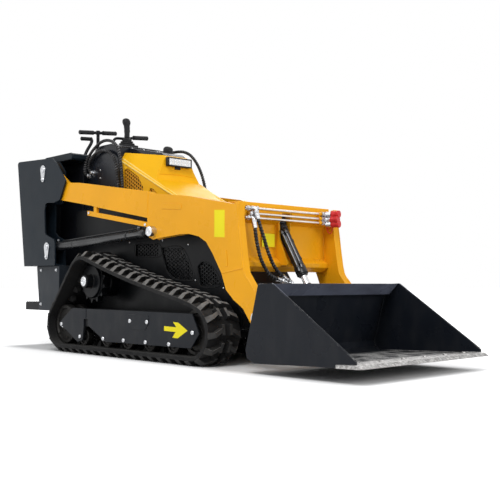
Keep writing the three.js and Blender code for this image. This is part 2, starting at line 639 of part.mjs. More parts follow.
// Cross plate between the arms, bent to a shallow tray, with the tilt cylinder's clevis.
const clevisY = 40;
const clevisPlate = 10;
add('crossmember', join(
  cut(
    sheet([
      [552, 474], [606, 474], [640, 498], [640, 520], [604, 548], [604, 716], [645, 738],
      [645, 818], [552, 822],
    ], 8, -armInnerY + gap, armInnerY - gap),
    box(590, 680, -clevisY + 2, clevisY - 2, 560, 775),
  ),
  ...[-1, 1].map((s) => slab([[540, 505], [690, 505], [690, 520], [632, 640], [625, 780], [540, 780]],
    s * clevisY - clevisPlate / 2, s * clevisY + clevisPlate / 2)),
  ...[-1, 1].map((s) => slab([[560, 505], [604, 520], [604, 716], [560, 780]],
    s * (armInnerY - 60) - 4, s * (armInnerY - 60) + 4)),
  crossBar(tiltPinRadius, ...tiltBase, -clevisY, clevisY, 20),
), orange);

// Steel pipes across the plate, with the elbows at the right and the couplers at the left.
const pipeX = 662;
add('cross_pipes', join(
  ...[786, 760, 738].map((z) => crossBar(7, pipeX, z, -318, 262, 10)),
  box(pipeX - 16.5, pipeX + 4, -242, -226, 729, 797),
  box(pipeX - 16.5, pipeX + 4, 226, 242, 729, 797),
  bar(11, [pipeX, -262, 786], [pipeX + 22, -266, 778], 12),
  bar(11, [pipeX + 22, -267, 781], [pipeX + 22, -258, 760], 12),
  bar(11, [pipeX, -266, 738], [pipeX + 22, -278, 735], 12),
  bar(11, [pipeX + 22, -280, 738], [pipeX + 22, -274, 716], 12),
), steel);
add('quick_couplers', join(
  box(pipeX - 12, pipeX + 12, 262 + gap, 286, 726, 799),
  ...[[785, 300], [756, 292], [732, 300]].flatMap(([z, y]) => [
    bar(15, [pipeX, 282, z], [pipeX + 34, y, z], 14),
    bar(21, [pipeX + 30, y - 2, z], [pipeX + 74, y + 10, z], 16),
  ]),
), redCap);

// Hoses from the elbows down to the tilt cylinder.
add('tilt_hose_front', tube(10, [
  [684, -257.8, 759.6], [684, -250, 743], [684, -238, 712], [684, -222, 674], [685, -204, 632],
  [686, -188, 590], [688, -168, 546], [690, -144, 504], [693, -116, 472], [697, -84, 449], [702, -52, 436],
], 24, 8), rubber);
add('tilt_hose_rear', tube(10, [
  [684, -273.8, 715.1], [684, -269, 698], [682, -262, 666], [681, -254, 628], [681, -242, 584],
  [682, -228, 540], [684, -206, 500], [686, -180, 467], [689, -146, 444], [692, -110, 434],
], 24, 8), rubber);

// ---- lift cylinders -----------------------------------------------------------------------
const sideways = (from, to) => {
  const dx = to[0] - from[0];
  const dz = to[1] - from[1];
  const length = Math.hypot(dx, dz);
  return { length, at: (t) => [from[0] + (dx * t) / length, from[1] + (dz * t) / length] };
};
const lift = sideways(liftBase, liftEye);
const liftBarrel = 1010; // pin to gland
const pointOn = (line, t, y) => [line.at(t)[0], y, line.at(t)[1]];
addPair('lift_barrel', cut(
  join(
    bar(cylinderRadius, pointOn(lift, 22, armMidY), pointOn(lift, liftBarrel, armMidY), 20),
    crossBar(34, ...liftBase, armMidY - cylinderRadius, armMidY + cylinderRadius, 20),
  ),
  crossBar(basePinRadius + pinGap, ...liftBase, armMidY - 60, armMidY + 60, 20),
  bar(rodRadius + pinGap, pointOn(lift, 120, armMidY), pointOn(lift, liftBarrel + 20, armMidY), 14),
), black);
addPair('lift_rod', join(
  bar(rodRadius, pointOn(lift, 520, armMidY), pointOn(lift, lift.length - 10, armMidY), 14),
  crossBar(eyeRadius, ...liftEye, armMidY - eyeWidth / 2, armMidY + eyeWidth / 2, 24),
), chromeRod);

// ---- tilt cylinder ------------------------------------------------------------------------
const tilt = sideways(tiltBase, tiltEye);
const tiltBarrel = 330;
const tiltEyeHalf = clevisY - clevisPlate / 2 - 4;
add('tilt_barrel', cut(
  join(
    bar(tiltRadius, pointOn(tilt, 20, 0), pointOn(tilt, tiltBarrel, 0), 28),
    crossBar(28, ...tiltBase, -tiltEyeHalf, tiltEyeHalf, 24),
  ),
  crossBar(tiltPinRadius + pinGap, ...tiltBase, -clevisY, clevisY, 20),
  bar(tiltRodRadius + pinGap, pointOn(tilt, 60, 0), pointOn(tilt, tiltBarrel + 20, 0), 20),
), black);
add('tilt_rod', join(
  bar(tiltRodRadius, pointOn(tilt, 120, 0), pointOn(tilt, tilt.length - 10, 0), 20),
  crossBar(27, ...tiltEye, -18, 18, 24),
), chromeRod);

// ---- bucket -------------------------------------------------------------------------------
const lean = (backLean * Math.PI) / 180;
const backFoot = [835, 109];
const backTop = [918, 410];
// A point behind the bucket's back, measured square to it and up along it.
const behind = (distance, along) => [
  backFoot[0] + Math.sin(lean) * along - Math.cos(lean) * distance,
  backFoot[1] + Math.cos(lean) * along + Math.sin(lean) * distance,
];
const half = bucketWidth / 2;
const edgeBackX = 1377; // where the cutting edge meets the floor
const bucketSidePlate = [
  backFoot, [843, 72], [893, 49], [edgeBackX - gap, 65.6], [edgeBackX - gap, 80],
  [1484, 83.8], [1482, 98], [1007, 414], backTop,
];
add('bucket_shell', join(
  slab(bucketSidePlate, half - bucketSide, half),
  slab(bucketSidePlate, -half, -half + bucketSide),
  sheet([
    [947, 356], [1004, 412], backTop, backFoot, [843, 72], [893, 49], [edgeBackX - gap, 65.6],
  ], bucketSheet, -half + 1, half - 1),
), bucketPaint);
add('cutting_edge', slab([
  [edgeBackX, 62.5], [1510, 66], [1525, 69], [1500, 83], [edgeBackX, 79],
], -half, half), steel);

const plateHalf = 300;
const plateThickness = 14;
const hingeEar = [
  behind(10, 60), behind(10, 240), [bucketPivot[0] - 10, bucketPivot[1] + 34],
  [bucketPivot[0] - 34, bucketPivot[1] + 5], [bucketPivot[0] - 20, bucketPivot[1] - 30],
];
const tiltEar = [
  behind(10, 200), behind(10, 298), [tiltEye[0] + 5, tiltEye[1] + 30],
  [tiltEye[0] - 28, tiltEye[1] + 6], [tiltEye[0] - 5, tiltEye[1] - 28],
];
const tiltEarY = 30;
add('attach_plate', join(
  slab([
    behind(gap, 20), behind(gap, 300), behind(plateThickness, 300), behind(plateThickness, 20),
  ], -plateHalf, plateHalf),
  slab(hingeEar, plateHalf - 6, plateHalf + 10),
  slab(hingeEar, -plateHalf - 10, -plateHalf + 6),
  crossBar(bucketPinRadius, ...bucketPivot, plateHalf, armOuterY + 8),
  crossBar(bucketPinRadius, ...bucketPivot, -armOuterY - 8, -plateHalf),
  ...[-tiltEarY, tiltEarY].map((y) => slab(tiltEar, y - 5, y + 5)),
), slate);

export default group;
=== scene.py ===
# Compact stand-on skid steer loader on rubber tracks: the looks of every piece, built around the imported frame.
import bmesh
import bpy
import math
from math import cos, pi, radians, sin
from mathutils import Matrix, Vector


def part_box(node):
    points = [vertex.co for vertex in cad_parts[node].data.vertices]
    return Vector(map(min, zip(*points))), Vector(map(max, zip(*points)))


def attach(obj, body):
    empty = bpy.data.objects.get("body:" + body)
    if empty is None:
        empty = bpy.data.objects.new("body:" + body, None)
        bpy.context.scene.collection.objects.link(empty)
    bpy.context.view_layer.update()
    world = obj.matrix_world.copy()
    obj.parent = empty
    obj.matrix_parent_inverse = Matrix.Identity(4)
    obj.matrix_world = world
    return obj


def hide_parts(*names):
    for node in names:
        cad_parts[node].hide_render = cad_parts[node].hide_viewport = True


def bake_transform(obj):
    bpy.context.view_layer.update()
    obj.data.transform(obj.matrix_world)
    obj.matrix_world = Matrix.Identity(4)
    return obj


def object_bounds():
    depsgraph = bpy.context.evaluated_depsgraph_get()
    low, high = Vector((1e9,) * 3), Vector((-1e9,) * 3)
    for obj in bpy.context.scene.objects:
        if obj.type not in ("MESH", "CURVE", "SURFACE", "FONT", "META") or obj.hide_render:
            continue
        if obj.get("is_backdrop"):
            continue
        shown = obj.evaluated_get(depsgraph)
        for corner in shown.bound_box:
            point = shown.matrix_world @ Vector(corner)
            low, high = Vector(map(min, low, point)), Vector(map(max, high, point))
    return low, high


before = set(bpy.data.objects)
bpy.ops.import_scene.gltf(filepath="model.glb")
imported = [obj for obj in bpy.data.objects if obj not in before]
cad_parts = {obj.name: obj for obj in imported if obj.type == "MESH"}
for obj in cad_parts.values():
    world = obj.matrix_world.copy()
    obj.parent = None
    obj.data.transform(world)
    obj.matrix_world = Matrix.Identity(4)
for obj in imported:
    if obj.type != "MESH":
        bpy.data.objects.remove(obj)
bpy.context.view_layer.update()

collection = bpy.context.scene.collection
SIDES = (("left", 1), ("right", -1))


# ---- camera, light and floor --------------------------------------------------------------
# A plain studio: a pale floor that runs to a white backdrop, one large soft lamp over the machine's right
# front, and three weaker ones that open the shadows. The camera stands low in front of the right corner.
camera = bpy.data.objects.new("camera", bpy.data.cameras.new("camera"))
camera.location = (3.610, -3.058, 0.410)
camera.rotation_euler = (radians(92.3712), 0, radians(46.7034))
camera.data.sensor_width = 36
camera.data.lens = 59.256
camera.data.clip_end = 200
collection.objects.link(camera)
bpy.context.scene.camera = camera
bpy.context.scene.view_settings.view_transform = "Standard"


def soft_lamp(name, place, aim, size, power):
    lamp = bpy.data.objects.new(name, bpy.data.lights.new(name, "AREA"))
    lamp.data.shape = "RECTANGLE"
    lamp.data.size, lamp.data.size_y = size
    lamp.data.energy = power
    lamp.location = place
    lamp.rotation_euler = (Vector(aim) - Vector(place)).to_track_quat("-Z", "Y").to_euler()
    collection.objects.link(lamp)


soft_lamp("key_lamp", (2.6, -3.6, 5.2), (0, 0, 0.6), (3.0, 3.0), 210)
soft_lamp("side_lamp", (-3.2, -5.2, 2.6), (-0.2, 0, 0.6), (3.0, 2.0), 60)
soft_lamp("front_lamp", (6.0, 1.2, 2.2), (0.6, 0, 0.6), (2.5, 2.0), 110)
soft_lamp("rear_lamp", (-2.5, 4.5, 4.5), (0, 0, 0.6), (3.0, 3.0), 120)


def remap(tree, value, low, high, to_low=0.0, to_high=1.0):
    node = tree.nodes.new("ShaderNodeMapRange")
    for name, number in (("From Min", low), ("From Max", high), ("To Min", to_low), ("To Max", to_high)):
        node.inputs[name].default_value = number
    tree.links.new(value, node.inputs["Value"])
    return node.outputs["Result"]


def calc(tree, operation, a, b=0.0):
    node = tree.nodes.new("ShaderNodeMath")
    node.operation = operation
    for socket, value in zip(node.inputs, (a, b)):
        if isinstance(value, (int, float)):
            socket.default_value = value
        else:
            tree.links.new(value, socket)
    return node.outputs[0]


def camera_sees(tree):
    """1 for rays from the camera and for mirror and glass rays, which show the backdrop as it is."""
    path = tree.nodes.new("ShaderNodeLightPath").outputs
    seen = calc(tree, "MAXIMUM", path["Is Camera Ray"], path["Is Glossy Ray"])
    return calc(tree, "MAXIMUM", seen, path["Is Transmission Ray"])


def wired(tree, *pairs):
    """Joins each output to its input."""
    for output, target in pairs:
        tree.links.new(output, target)


def set_inputs(node, **values):
    """Sets a node's inputs by their names, with low lines for spaces."""
    for name, value in values.items():
        node.inputs[name.replace("_", " ")].default_value = value


world = bpy.data.worlds.new("studio")
bpy.context.scene.world = world
world.use_nodes = True
world_tree = world.node_tree
world_tree.nodes.clear()
backdrop, ambient = (world_tree.nodes.new("ShaderNodeBackground") for _ in range(2))
set_inputs(backdrop, Color=(1, 1, 1, 1), Strength=1.0)
set_inputs(ambient, Color=(0.95, 0.97, 1, 1), Strength=0.40)
world_mix = world_tree.nodes.new("ShaderNodeMixShader")
world_out = world_tree.nodes.new("ShaderNodeOutputWorld")
wired(world_tree, (camera_sees(world_tree), world_mix.inputs[0]), (ambient.outputs[0], world_mix.inputs[1]),
      (backdrop.outputs[0], world_mix.inputs[2]), (world_mix.outputs[0], world_out.inputs["Surface"]))

floor_mesh = bpy.data.meshes.new("floor")
FLOOR_REACH = 60
MACHINE_HALF = (1.45, 0.43, 0)
corners = [(a * FLOOR_REACH, b * FLOOR_REACH, 0) for a, b in ((-1, -1), (1, -1), (1, 1), (-1, 1))]
floor_mesh.from_pydata(corners, [], [(0, 1, 2, 3)])
floor = bpy.data.objects.new("floor", floor_mesh)
collection.objects.link(floor)
floor_look = bpy.data.materials.new("pale_floor")
floor_look.use_nodes = True
floor_tree = floor_look.node_tree
floor_shader = floor_tree.nodes["Principled BSDF"]
set_inputs(floor_shader, Base_Color=(0.8, 0.8, 0.8, 1), Roughness=0.9, Specular_IOR_Level=0.1,
           Emission_Color=(1, 1, 1, 1))
# painted shadow: the floor glows faintly, but not at all under the machine, so a soft shadow is painted there;
# the glow rises within 0.1 m of it and more away from it, to meet the backdrop in white
distance = floor_tree.nodes.new("ShaderNodeTexCoord").outputs["Object"]
for operation in ("ABSOLUTE", "SUBTRACT", "MAXIMUM", "LENGTH"):
    step = floor_tree.nodes.new("ShaderNodeVectorMath")
    step.operation = operation
    if operation == "SUBTRACT":
        step.inputs[1].default_value = MACHINE_HALF
    floor_tree.links.new(distance, step.inputs[0])
    distance = step.outputs["Value" if operation == "LENGTH" else "Vector"]
floor_glow_with_painted_shadow = calc(floor_tree, "ADD", remap(floor_tree, distance, 0, 0.10, 0, 0.46),
            remap(floor_tree, distance, 0.4, 5.5, 0, 0.54))
wired(floor_tree, (calc(floor_tree, "MULTIPLY", camera_sees(floor_tree), floor_glow_with_painted_shadow),
                   floor_shader.inputs["Emission Strength"]))
floor_mesh.materials.append(floor_look)
floor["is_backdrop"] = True


# ---- hydraulic hoses ----------------------------------------------------------------------
# Rubber hoses inside a black spiral guard, with swaged steel ferrules and elbows at their ends. Three arch from
# the cowl's sides down to the deck, and two hang from the cross pipes to the tilt cylinder, which they follow.
HOSE_RADIUS = 0.0099
GUARD_PITCH = 0.0160


def noise(tree, scale, detail=4.0, coordinates="Object", stretch=None, roughness=0.5):
    """A noise texture on the piece's own coordinates."""
    place = tree.nodes.new("ShaderNodeTexCoord")
    texture = tree.nodes.new("ShaderNodeTexNoise")
    texture.inputs["Scale"].default_value = scale
    texture.inputs["Detail"].default_value = detail
    texture.inputs["Roughness"].default_value = roughness
    if stretch:
        mapping = tree.nodes.new("ShaderNodeMapping")
        mapping.inputs["Scale"].default_value = stretch
        tree.links.new(place.outputs[coordinates], mapping.inputs["Vector"])
        tree.links.new(mapping.outputs["Vector"], texture.inputs["Vector"])
    else:
        tree.links.new(place.outputs[coordinates], texture.inputs["Vector"])
    return texture.outputs["Fac"]


def blend_colours(tree, share, first, second):
    node = tree.nodes.new("ShaderNodeMix")
    node.data_type = "RGBA"
    for socket, value in ((node.inputs[0], share), (node.inputs[6], first), (node.inputs[7], second)):
        if isinstance(value, (tuple, list)):
            socket.default_value = (*value, 1)
        elif isinstance(value, (int, float)):
            socket.default_value = value
        else:
            tree.links.new(value, socket)
    return node.outputs[2]


def bump(tree, height, strength, distance):
    node = tree.nodes.new("ShaderNodeBump")
    node.inputs["Strength"].default_value = strength
    node.inputs["Distance"].default_value = distance
    tree.links.new(height, node.inputs["Height"])
    return node.outputs["Normal"]


def upward(tree):
    """1 where a surface faces the sky, where dust settles."""
    geometry = tree.nodes.new("ShaderNodeNewGeometry")
    split = tree.nodes.new("ShaderNodeSeparateXYZ")
    tree.links.new(geometry.outputs["Normal"], split.inputs[0])
    return remap(tree, split.outputs["Z"], 0.25, 0.95)


def along_axis(tree, axis):
    place = tree.nodes.new("ShaderNodeTexCoord")
    split = tree.nodes.new("ShaderNodeSeparateXYZ")
    tree.links.new(place.outputs["Object"], split.inputs[0])
    return split.outputs[axis]


def worn_edges(tree, radius, reach):
    """1 on the outer edges of a piece, broken up by a fine noise."""
    geometry = tree.nodes.new("ShaderNodeNewGeometry")
    rounded = tree.nodes.new("ShaderNodeBevel")
    rounded.inputs["Radius"].default_value = radius
    rounded.samples = 4
    dot = tree.nodes.new("ShaderNodeVectorMath")
    dot.operation = "DOT_PRODUCT"
    tree.links.new(geometry.outputs["Normal"], dot.inputs[0])
    tree.links.new(rounded.outputs["Normal"], dot.inputs[1])
    edge = remap(tree, dot.outputs["Value"], 0.985, 0.86)
    patchy = remap(tree, noise(tree, 55, 5), 0.62 - reach, 0.72 - reach)
    return calc(tree, "MULTIPLY", edge, patchy)


def plain_material(name, colour, roughness, metallic=0.0):
    made = bpy.data.materials.new(name)
    made.use_nodes = True
    shader = made.node_tree.nodes["Principled BSDF"]
    set_inputs(shader, Base_Color=(*colour, 1), Roughness=roughness, Metallic=metallic)
    return made, made.node_tree, shader


def looks(tree, shader, colour=None, roughness=None, normal=None, metallic=None):
    """Feeds a shader's sockets with what varies over the surface."""
    for name, output in (("Base Color", colour), ("Roughness", roughness), ("Normal", normal),
                         ("Metallic", metallic)):
        if output is not None:
            tree.links.new(output, shader.inputs[name])


def under_coat(made):
    """A made material's tree and shader, and the colour it has so far, for another finish over it."""
    shader = made.node_tree.nodes["Principled BSDF"]
    return made.node_tree, shader, shader.inputs["Base Color"].links[0].from_socket


def rubber_material(name, colour, dust_colour, dust, roughness=0.75, grain=420):
    """Moulded rubber: matt, finely grained, greyed by dust where it faces up and in its low spots."""
    made, tree, shader = plain_material(name, colour, roughness)
    settled = calc(tree, "MULTIPLY", upward(tree), remap(tree, noise(tree, 14, 6), 0.3, 0.7, 0.35, 1.0))
    film = calc(tree, "MULTIPLY", remap(tree, noise(tree, 5, 5), 0.35, 0.75), 0.35)
    share = calc(tree, "MULTIPLY", calc(tree, "MAXIMUM", settled, film), dust)
    looks(tree, shader, blend_colours(tree, share, colour, dust_colour),
          remap(tree, noise(tree, 30, 4), 0.3, 0.7, roughness - 0.12, roughness + 0.1),
          bump(tree, noise(tree, grain, 3), 0.35, 0.0006))
    set_inputs(shader, Specular_IOR_Level=0.16)
    return made


def paint_material(name, colour, roughness, dust=0.3, wear=0.4, bare=(0.30, 0.29, 0.28), gloss=0.12):
    """Sprayed paint on steel: orange peel, dust on top and low down, and bare steel on knocked edges."""
    made, tree, shader = plain_material(name, colour, roughness)
    drift = remap(tree, noise(tree, 2.2, 4), 0.3, 0.7)
    shade = blend_colours(tree, drift, tuple(c * 0.90 for c in colour), tuple(min(1, c * 1.06) for c in colour))
    low = remap(tree, along_axis(tree, "Z"), 0.75, 0.05, 0.15, 1.0)
    streaks = remap(tree, noise(tree, 16, 6, stretch=(1, 1, 0.35)), 0.46, 0.74)
    film = calc(tree, "MULTIPLY", calc(tree, "MULTIPLY", low, streaks), 0.5)
    settled = calc(tree, "MULTIPLY", upward(tree), remap(tree, noise(tree, 20, 6), 0.38, 0.72, 0.12, 0.8))
    dusty = calc(tree, "MULTIPLY", calc(tree, "MAXIMUM", film, settled), dust)
    dusted = blend_colours(tree, dusty, shade, (0.30, 0.28, 0.25))
    edges = calc(tree, "MULTIPLY", worn_edges(tree, 0.0035, wear * 0.16), wear)
    smear = remap(tree, noise(tree, 7, 6), 0.35, 0.7, -0.05, 0.09)
    shine = calc(tree, "ADD", calc(tree, "ADD", smear, roughness), calc(tree, "MULTIPLY", dusty, 0.55))
    skin = calc(tree, "ADD", noise(tree, 190, 2), calc(tree, "MULTIPLY", noise(tree, 14, 3), 0.6))
    scratched = calc(tree, "SUBTRACT", skin, calc(tree, "MULTIPLY", edges, 1.5))
    looks(tree, shader, blend_colours(tree, edges, dusted, bare), shine, bump(tree, scratched, 0.2, 0.0006),
          calc(tree, "MULTIPLY", edges, 0.8))
    set_inputs(shader, Specular_IOR_Level=gloss)
    return made


def metal_material(name, colour, roughness, grain=1.0, dirt=0.25, brushed=None):
    """Bare or plated steel: even colour, patchy shine, fine brush lines and a little grime in its hollows."""
    made, tree, shader = plain_material(name, colour, roughness, 1.0)
    cloud = remap(tree, noise(tree, 9, 6), 0.35, 0.7)
    grime = calc(tree, "MULTIPLY", remap(tree, noise(tree, 38, 6), 0.5, 0.72), dirt)
    dull = tuple(c * 0.35 for c in colour)
    shade = blend_colours(tree, calc(tree, "MULTIPLY", cloud, 0.25), colour, tuple(c * 0.8 for c in colour))
    spread = calc(tree, "ADD", calc(tree, "MULTIPLY", cloud, 0.16), calc(tree, "MULTIPLY", grime, 0.5))
    lines = noise(tree, 160, 3, stretch=brushed) if brushed else noise(tree, 320, 3)
    looks(tree, shader, blend_colours(tree, grime, shade, dull), calc(tree, "ADD", spread, roughness),
          bump(tree, lines, 0.12 * grain, 0.0004))
    return made


hose_guard = rubber_material("hose_guard", (0.009, 0.009, 0.010), (0.10, 0.10, 0.10), 0.30, 0.42, 300)
# painted highlights: the guard's windings are painted bright along their crests, more in some places than others
# and most where they face up, as if lit from above
tree, shader, rubber = under_coat(hose_guard)
place = tree.nodes.new("ShaderNodeSeparateXYZ")
tree.links.new(tree.nodes.new("ShaderNodeUVMap").outputs["UV"], place.inputs["Vector"])
winding = calc(tree, "FRACT", calc(tree, "SUBTRACT",
                                   calc(tree, "MULTIPLY", place.outputs["Y"], 1 / GUARD_PITCH),
                                   place.outputs["X"]))
crest = remap(tree, calc(tree, "ABSOLUTE", calc(tree, "SUBTRACT", winding, 0.5)), 0.05, 0.22, 1.0, 0.0)
highlight_patches = remap(tree, noise(tree, 26, 2), 0.42, 0.62, 0.15, 1.0)
painted_crest_highlights = calc(tree, "MULTIPLY", calc(tree, "MULTIPLY", crest, highlight_patches),
              remap(tree, upward(tree), -0.3, 0.6, 0.35, 0.9))
looks(tree, shader, blend_colours(tree, painted_crest_highlights, rubber, (0.24, 0.24, 0.25)))
plated_steel = metal_material("plated_steel", (0.62, 0.63, 0.65), 0.22)


def as_object(name, form):
    """A bmesh, or a mesh, as an object of that name. It isn't in the scene yet."""
    if isinstance(form, bmesh.types.BMesh):
        mesh = bpy.data.meshes.new(name)
        form.to_mesh(mesh)
        form.free()
        form = mesh
    form.name = name
    return bpy.data.objects.new(name, form)


def finished(name, form, body, materials=(), replaces=(), bevel=0.0, smooth=35, segments=2):
    """Puts a piece in the scene on its body: materials, rounded edges, shading and what it stands for."""
    piece = as_object(name, form)
    for material in materials:
        piece.data.materials.append(material)
    collection.objects.link(piece)
    piece.data.shade_smooth()
    piece.data.set_sharp_from_angle(angle=radians(smooth))
    if bevel:
        edge = piece.modifiers.new("rounded_edges", "BEVEL")
        edge.width, edge.segments, edge.limit_method = bevel, segments, "ANGLE"
        edge.angle_limit = radians(32)
        edge.use_clamp_overlap = True
        edge.harden_normals = True
    if body:
        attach(piece, body)
    if replaces:
        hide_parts(*replaces)
    return piece


def joined(*forms):
    """Several bmeshes or meshes as one bmesh."""
    whole = bmesh.new()
    for form in forms:
        mesh = form
        if isinstance(form, bmesh.types.BMesh):
            mesh = bpy.data.meshes.new("part")
            form.to_mesh(mesh)
            form.free()
        whole.from_mesh(mesh)
    return whole


def mm(*points):
    """Millimetres, as the drawing gives them, in metres."""
    return [tuple(v / 1000 for v in p) for p in points]


def smooth_line(points, step):
    """Points at about equal steps on a smooth curve through the given ones."""
    knots = [Vector(p) for p in points]
    ends = [knots[0] * 2 - knots[1], *knots, knots[-1] * 2 - knots[-2]]
    fine = []
    for a, b, c, d in zip(ends, ends[1:], ends[2:], ends[3:]):
        for i in range(24):
            t = i / 24
            bend = (2 * a - 5 * b + 4 * c - d) * t * t + (3 * b - a - 3 * c + d) * t ** 3
            fine.append(0.5 * (2 * b + (c - a) * t + bend))
    fine.append(knots[-1])
    line, spare = [fine[0]], 0.0
    for p, q in zip(fine, fine[1:]):
        length = (q - p).length
        while length and spare + length >= step:
            p = p.lerp(q, (step - spare) / length)
            line.append(p)
            length, spare = (q - p).length, 0.0
        spare += length
    if (line[-1] - fine[-1]).length > step * 0.3:
        line.append(fine[-1])
    else:
        line[-1] = fine[-1]
    return line


def swept(line, sides, radius_at):
    """A closed tube along a line; its radius may vary along it and round it. Its UVs run along and round it."""
    form = bmesh.new()
    layer = form.loops.layers.uv.new("UVMap")
    run = (line[1] - line[0]).normalized()
    side = run.orthogonal().normalized()
    rings, lengths, travelled = [], [], 0.0
    for i, p in enumerate(line):
        ahead = (line[min(i + 1, len(line) - 1)] - line[max(i - 1, 0)]).normalized()
        side = run.rotation_difference(ahead) @ side
        run = ahead
        across = run.cross(side)
        if i:
            travelled += (p - line[i - 1]).length
        turns = [2 * pi * k / sides for k in range(sides)]
        rings.append([form.verts.new(p + (side * cos(t) + across * sin(t)) * radius_at(travelled, t))
                      for t in turns])
        lengths.append(travelled)
    for i, (ring, following) in enumerate(zip(rings, rings[1:])):
        for k in range(sides):
            n = (k + 1) % sides
            face = form.faces.new((ring[k], ring[n], following[n], following[k]))
            spots = ((k, i), (k + 1, i), (k + 1, i + 1), (k, i + 1))
            for loop, (u, v) in zip(face.loops, spots):
                loop[layer].uv = (u / sides, lengths[v])
    form.faces.new(rings[0])
    form.faces.new(rings[-1])
    bmesh.ops.recalc_face_normals(form, faces=form.faces)
    return form


def plain_tube(points, radius, sides=16, step=0.006):
    return swept(smooth_line(points, step), sides, lambda travelled, turn: radius)


def turned(profile, start, direction, sides=40, closed=False):
    """A lathe shape: (radius, distance along) points turned about a line. A closed profile leaves a bore."""
    run = Vector(direction).normalized()
    side = run.orthogonal().normalized()
    across = run.cross(side)
    form = bmesh.new()
    rings = []
    for radius, along in profile:
        middle = Vector(start) + run * along
        if radius <= 0:
            rings.append([form.verts.new(middle)])
            continue
        rings.append([form.verts.new(middle + (side * cos(t) + across * sin(t)) * radius)
                      for t in (2 * pi * k / sides for k in range(sides))])
    for ring, following in zip(rings, rings[1:] + ([rings[0]] if closed else [])):
        for k in range(sides):
            n = (k + 1) % sides
            corners = [ring[k % len(ring)], ring[n % len(ring)], following[n % len(following)],
                       following[k % len(following)]]
            corners = [v for i, v in enumerate(corners) if v not in corners[:i]]
            if len(corners) > 2:
                form.faces.new(corners)
    if not closed:
        for ring in (rings[0], rings[-1]):
            if len(ring) > 1:
                form.faces.new(ring)
    bmesh.ops.recalc_face_normals(form, faces=form.faces)
    return form


def block(x0, x1, y0, y1, z0, z1):
    form = bmesh.new()
    bmesh.ops.create_cube(form, size=1)
    bmesh.ops.scale(form, verts=form.verts, vec=(x1 - x0, abs(y1 - y0), z1 - z0))
    bmesh.ops.translate(form, verts=form.verts, vec=((x0 + x1) / 2, (y0 + y1) / 2, (z0 + z1) / 2))
    return form


def guarded_hose(points):
    """A hose in its spiral guard: a flat ribbon wound round it, so it shows as a rounded helical ridge."""
    def radius_at(travelled, turn):
        phase = (travelled / GUARD_PITCH - turn / (2 * pi)) % 1.0
        return HOSE_RADIUS - 0.0030 * max(0.0, abs(phase - 0.5) * 2 - 0.40) / 0.60
    return swept(smooth_line(points, GUARD_PITCH / 9), 16, radius_at)


def end_fitting(start, direction, sides=6):
    """A swaged ferrule with two rings and a hex nut, pointing from the hose to what it screws into."""
    ferrule = turned(mm((9.5, -4), (12.2, -3), (12.2, 6), (11.2, 7), (11.2, 10), (12.2, 11), (12.2, 22),
                        (10, 25), (8, 30)), start, direction, 24)
    nut = turned(mm((10.5, 28), (14, 30), (14, 44), (12, 46)), start, direction, sides)
    return joined(ferrule, nut)


HOSES = {
    "cowl_hose_right_outer": mm(
        (-932, -206, 1104), (-946, -211, 1109), (-957, -214, 1132), (-951, -214, 1172), (-926, -214, 1214),
        (-880, -214, 1252), (-827, -214, 1281), (-768, -214, 1302), (-704, -214, 1304), (-640, -214, 1286),
        (-598, -214, 1254), (-571, -214, 1205), (-552, -214, 1136), (-540, -214, 1053), (-532, -214, 960),
        (-530, -214, 888)),
    "cowl_hose_right_inner": mm(
        (-890, -206, 1120), (-906, -211, 1129), (-915, -214, 1160), (-893, -214, 1202), (-840, -214, 1234),
        (-775, -214, 1246), (-705, -214, 1236), (-652, -214, 1208), (-618, -214, 1168), (-598, -214, 1110),
        (-584, -214, 1030), (-574, -214, 950), (-570, -214, 888)),
    "cowl_hose_left": mm(
        (-932, 206, 1104), (-946, 211, 1109), (-957, 214, 1130), (-950, 214, 1170), (-916, 214, 1214),
        (-860, 214, 1248), (-780, 214, 1266), (-690, 214, 1268), (-600, 214, 1262), (-530, 214, 1259),
        (-474, 214, 1250), (-415, 214, 1225), (-366, 214, 1184), (-326, 214, 1134), (-295, 214, 1078),
        (-270, 214, 1010), (-256, 214, 940), (-252, 214, 888)),
}
TILT_HOSES = {
    "tilt_hose_front": mm(
        (684, -257.8, 759.6), (684, -250, 743), (684, -238, 712), (684, -222, 674), (685, -204, 632),
        (686, -188, 590), (688, -168, 546), (690, -144, 504), (693, -116, 472), (697, -84, 449)),
    "tilt_hose_rear": mm(
        (684, -273.8, 715.1), (684, -269, 698), (682, -262, 666), (681, -254, 628), (681, -242, 584),
        (682, -228, 540), (684, -206, 500), (686, -180, 467), (689, -146, 444), (692, -116, 435)),
}

for name, route in HOSES.items():
    finished(name, guarded_hose(route), "root", [hose_guard], smooth=60)

# The cowl ends: a short elbow out of the cowl into the ferrule, and a block on the deck at the other end.
for name, side, elbows, foot in (
        ("cowl_hoses_right", -1, ((-0.932, 1.104), (-0.890, 1.120)), (-0.586, -0.514)),
        ("cowl_hose_left", 1, ((-0.932, 1.104),), (-0.272, -0.232))):
    parts = []
    for x, z in elbows:
        parts.append(turned(mm((13, 0.3), (13, 6), (10, 7), (10, 13), (12.5, 14), (12.5, 22), (9, 24.5)),
                            (x, side * 0.192, z), (0, side, 0), 24))
        parts.append(turned([(0.0175, 0.0003), (0.0175, 0.008)], (x, side * 0.192, z), (0, side, 0), 6))
    parts.append(block(*foot, side * 0.200, side * 0.228, 0.87845, 0.89395))
    for x in [p[-1][0] for n, p in HOSES.items() if n.startswith(name[:13])]:
        parts.append(turned(mm((13, 0), (13, 12), (12, 13), (12, 30), (9.5, 33)),
                            (x, side * 0.214, 0.892), (0, 0, 1), 24))
    finished(f"{name}_fittings", joined(*parts), "root", [plated_steel], [name], bevel=0.0008,
             smooth=30)

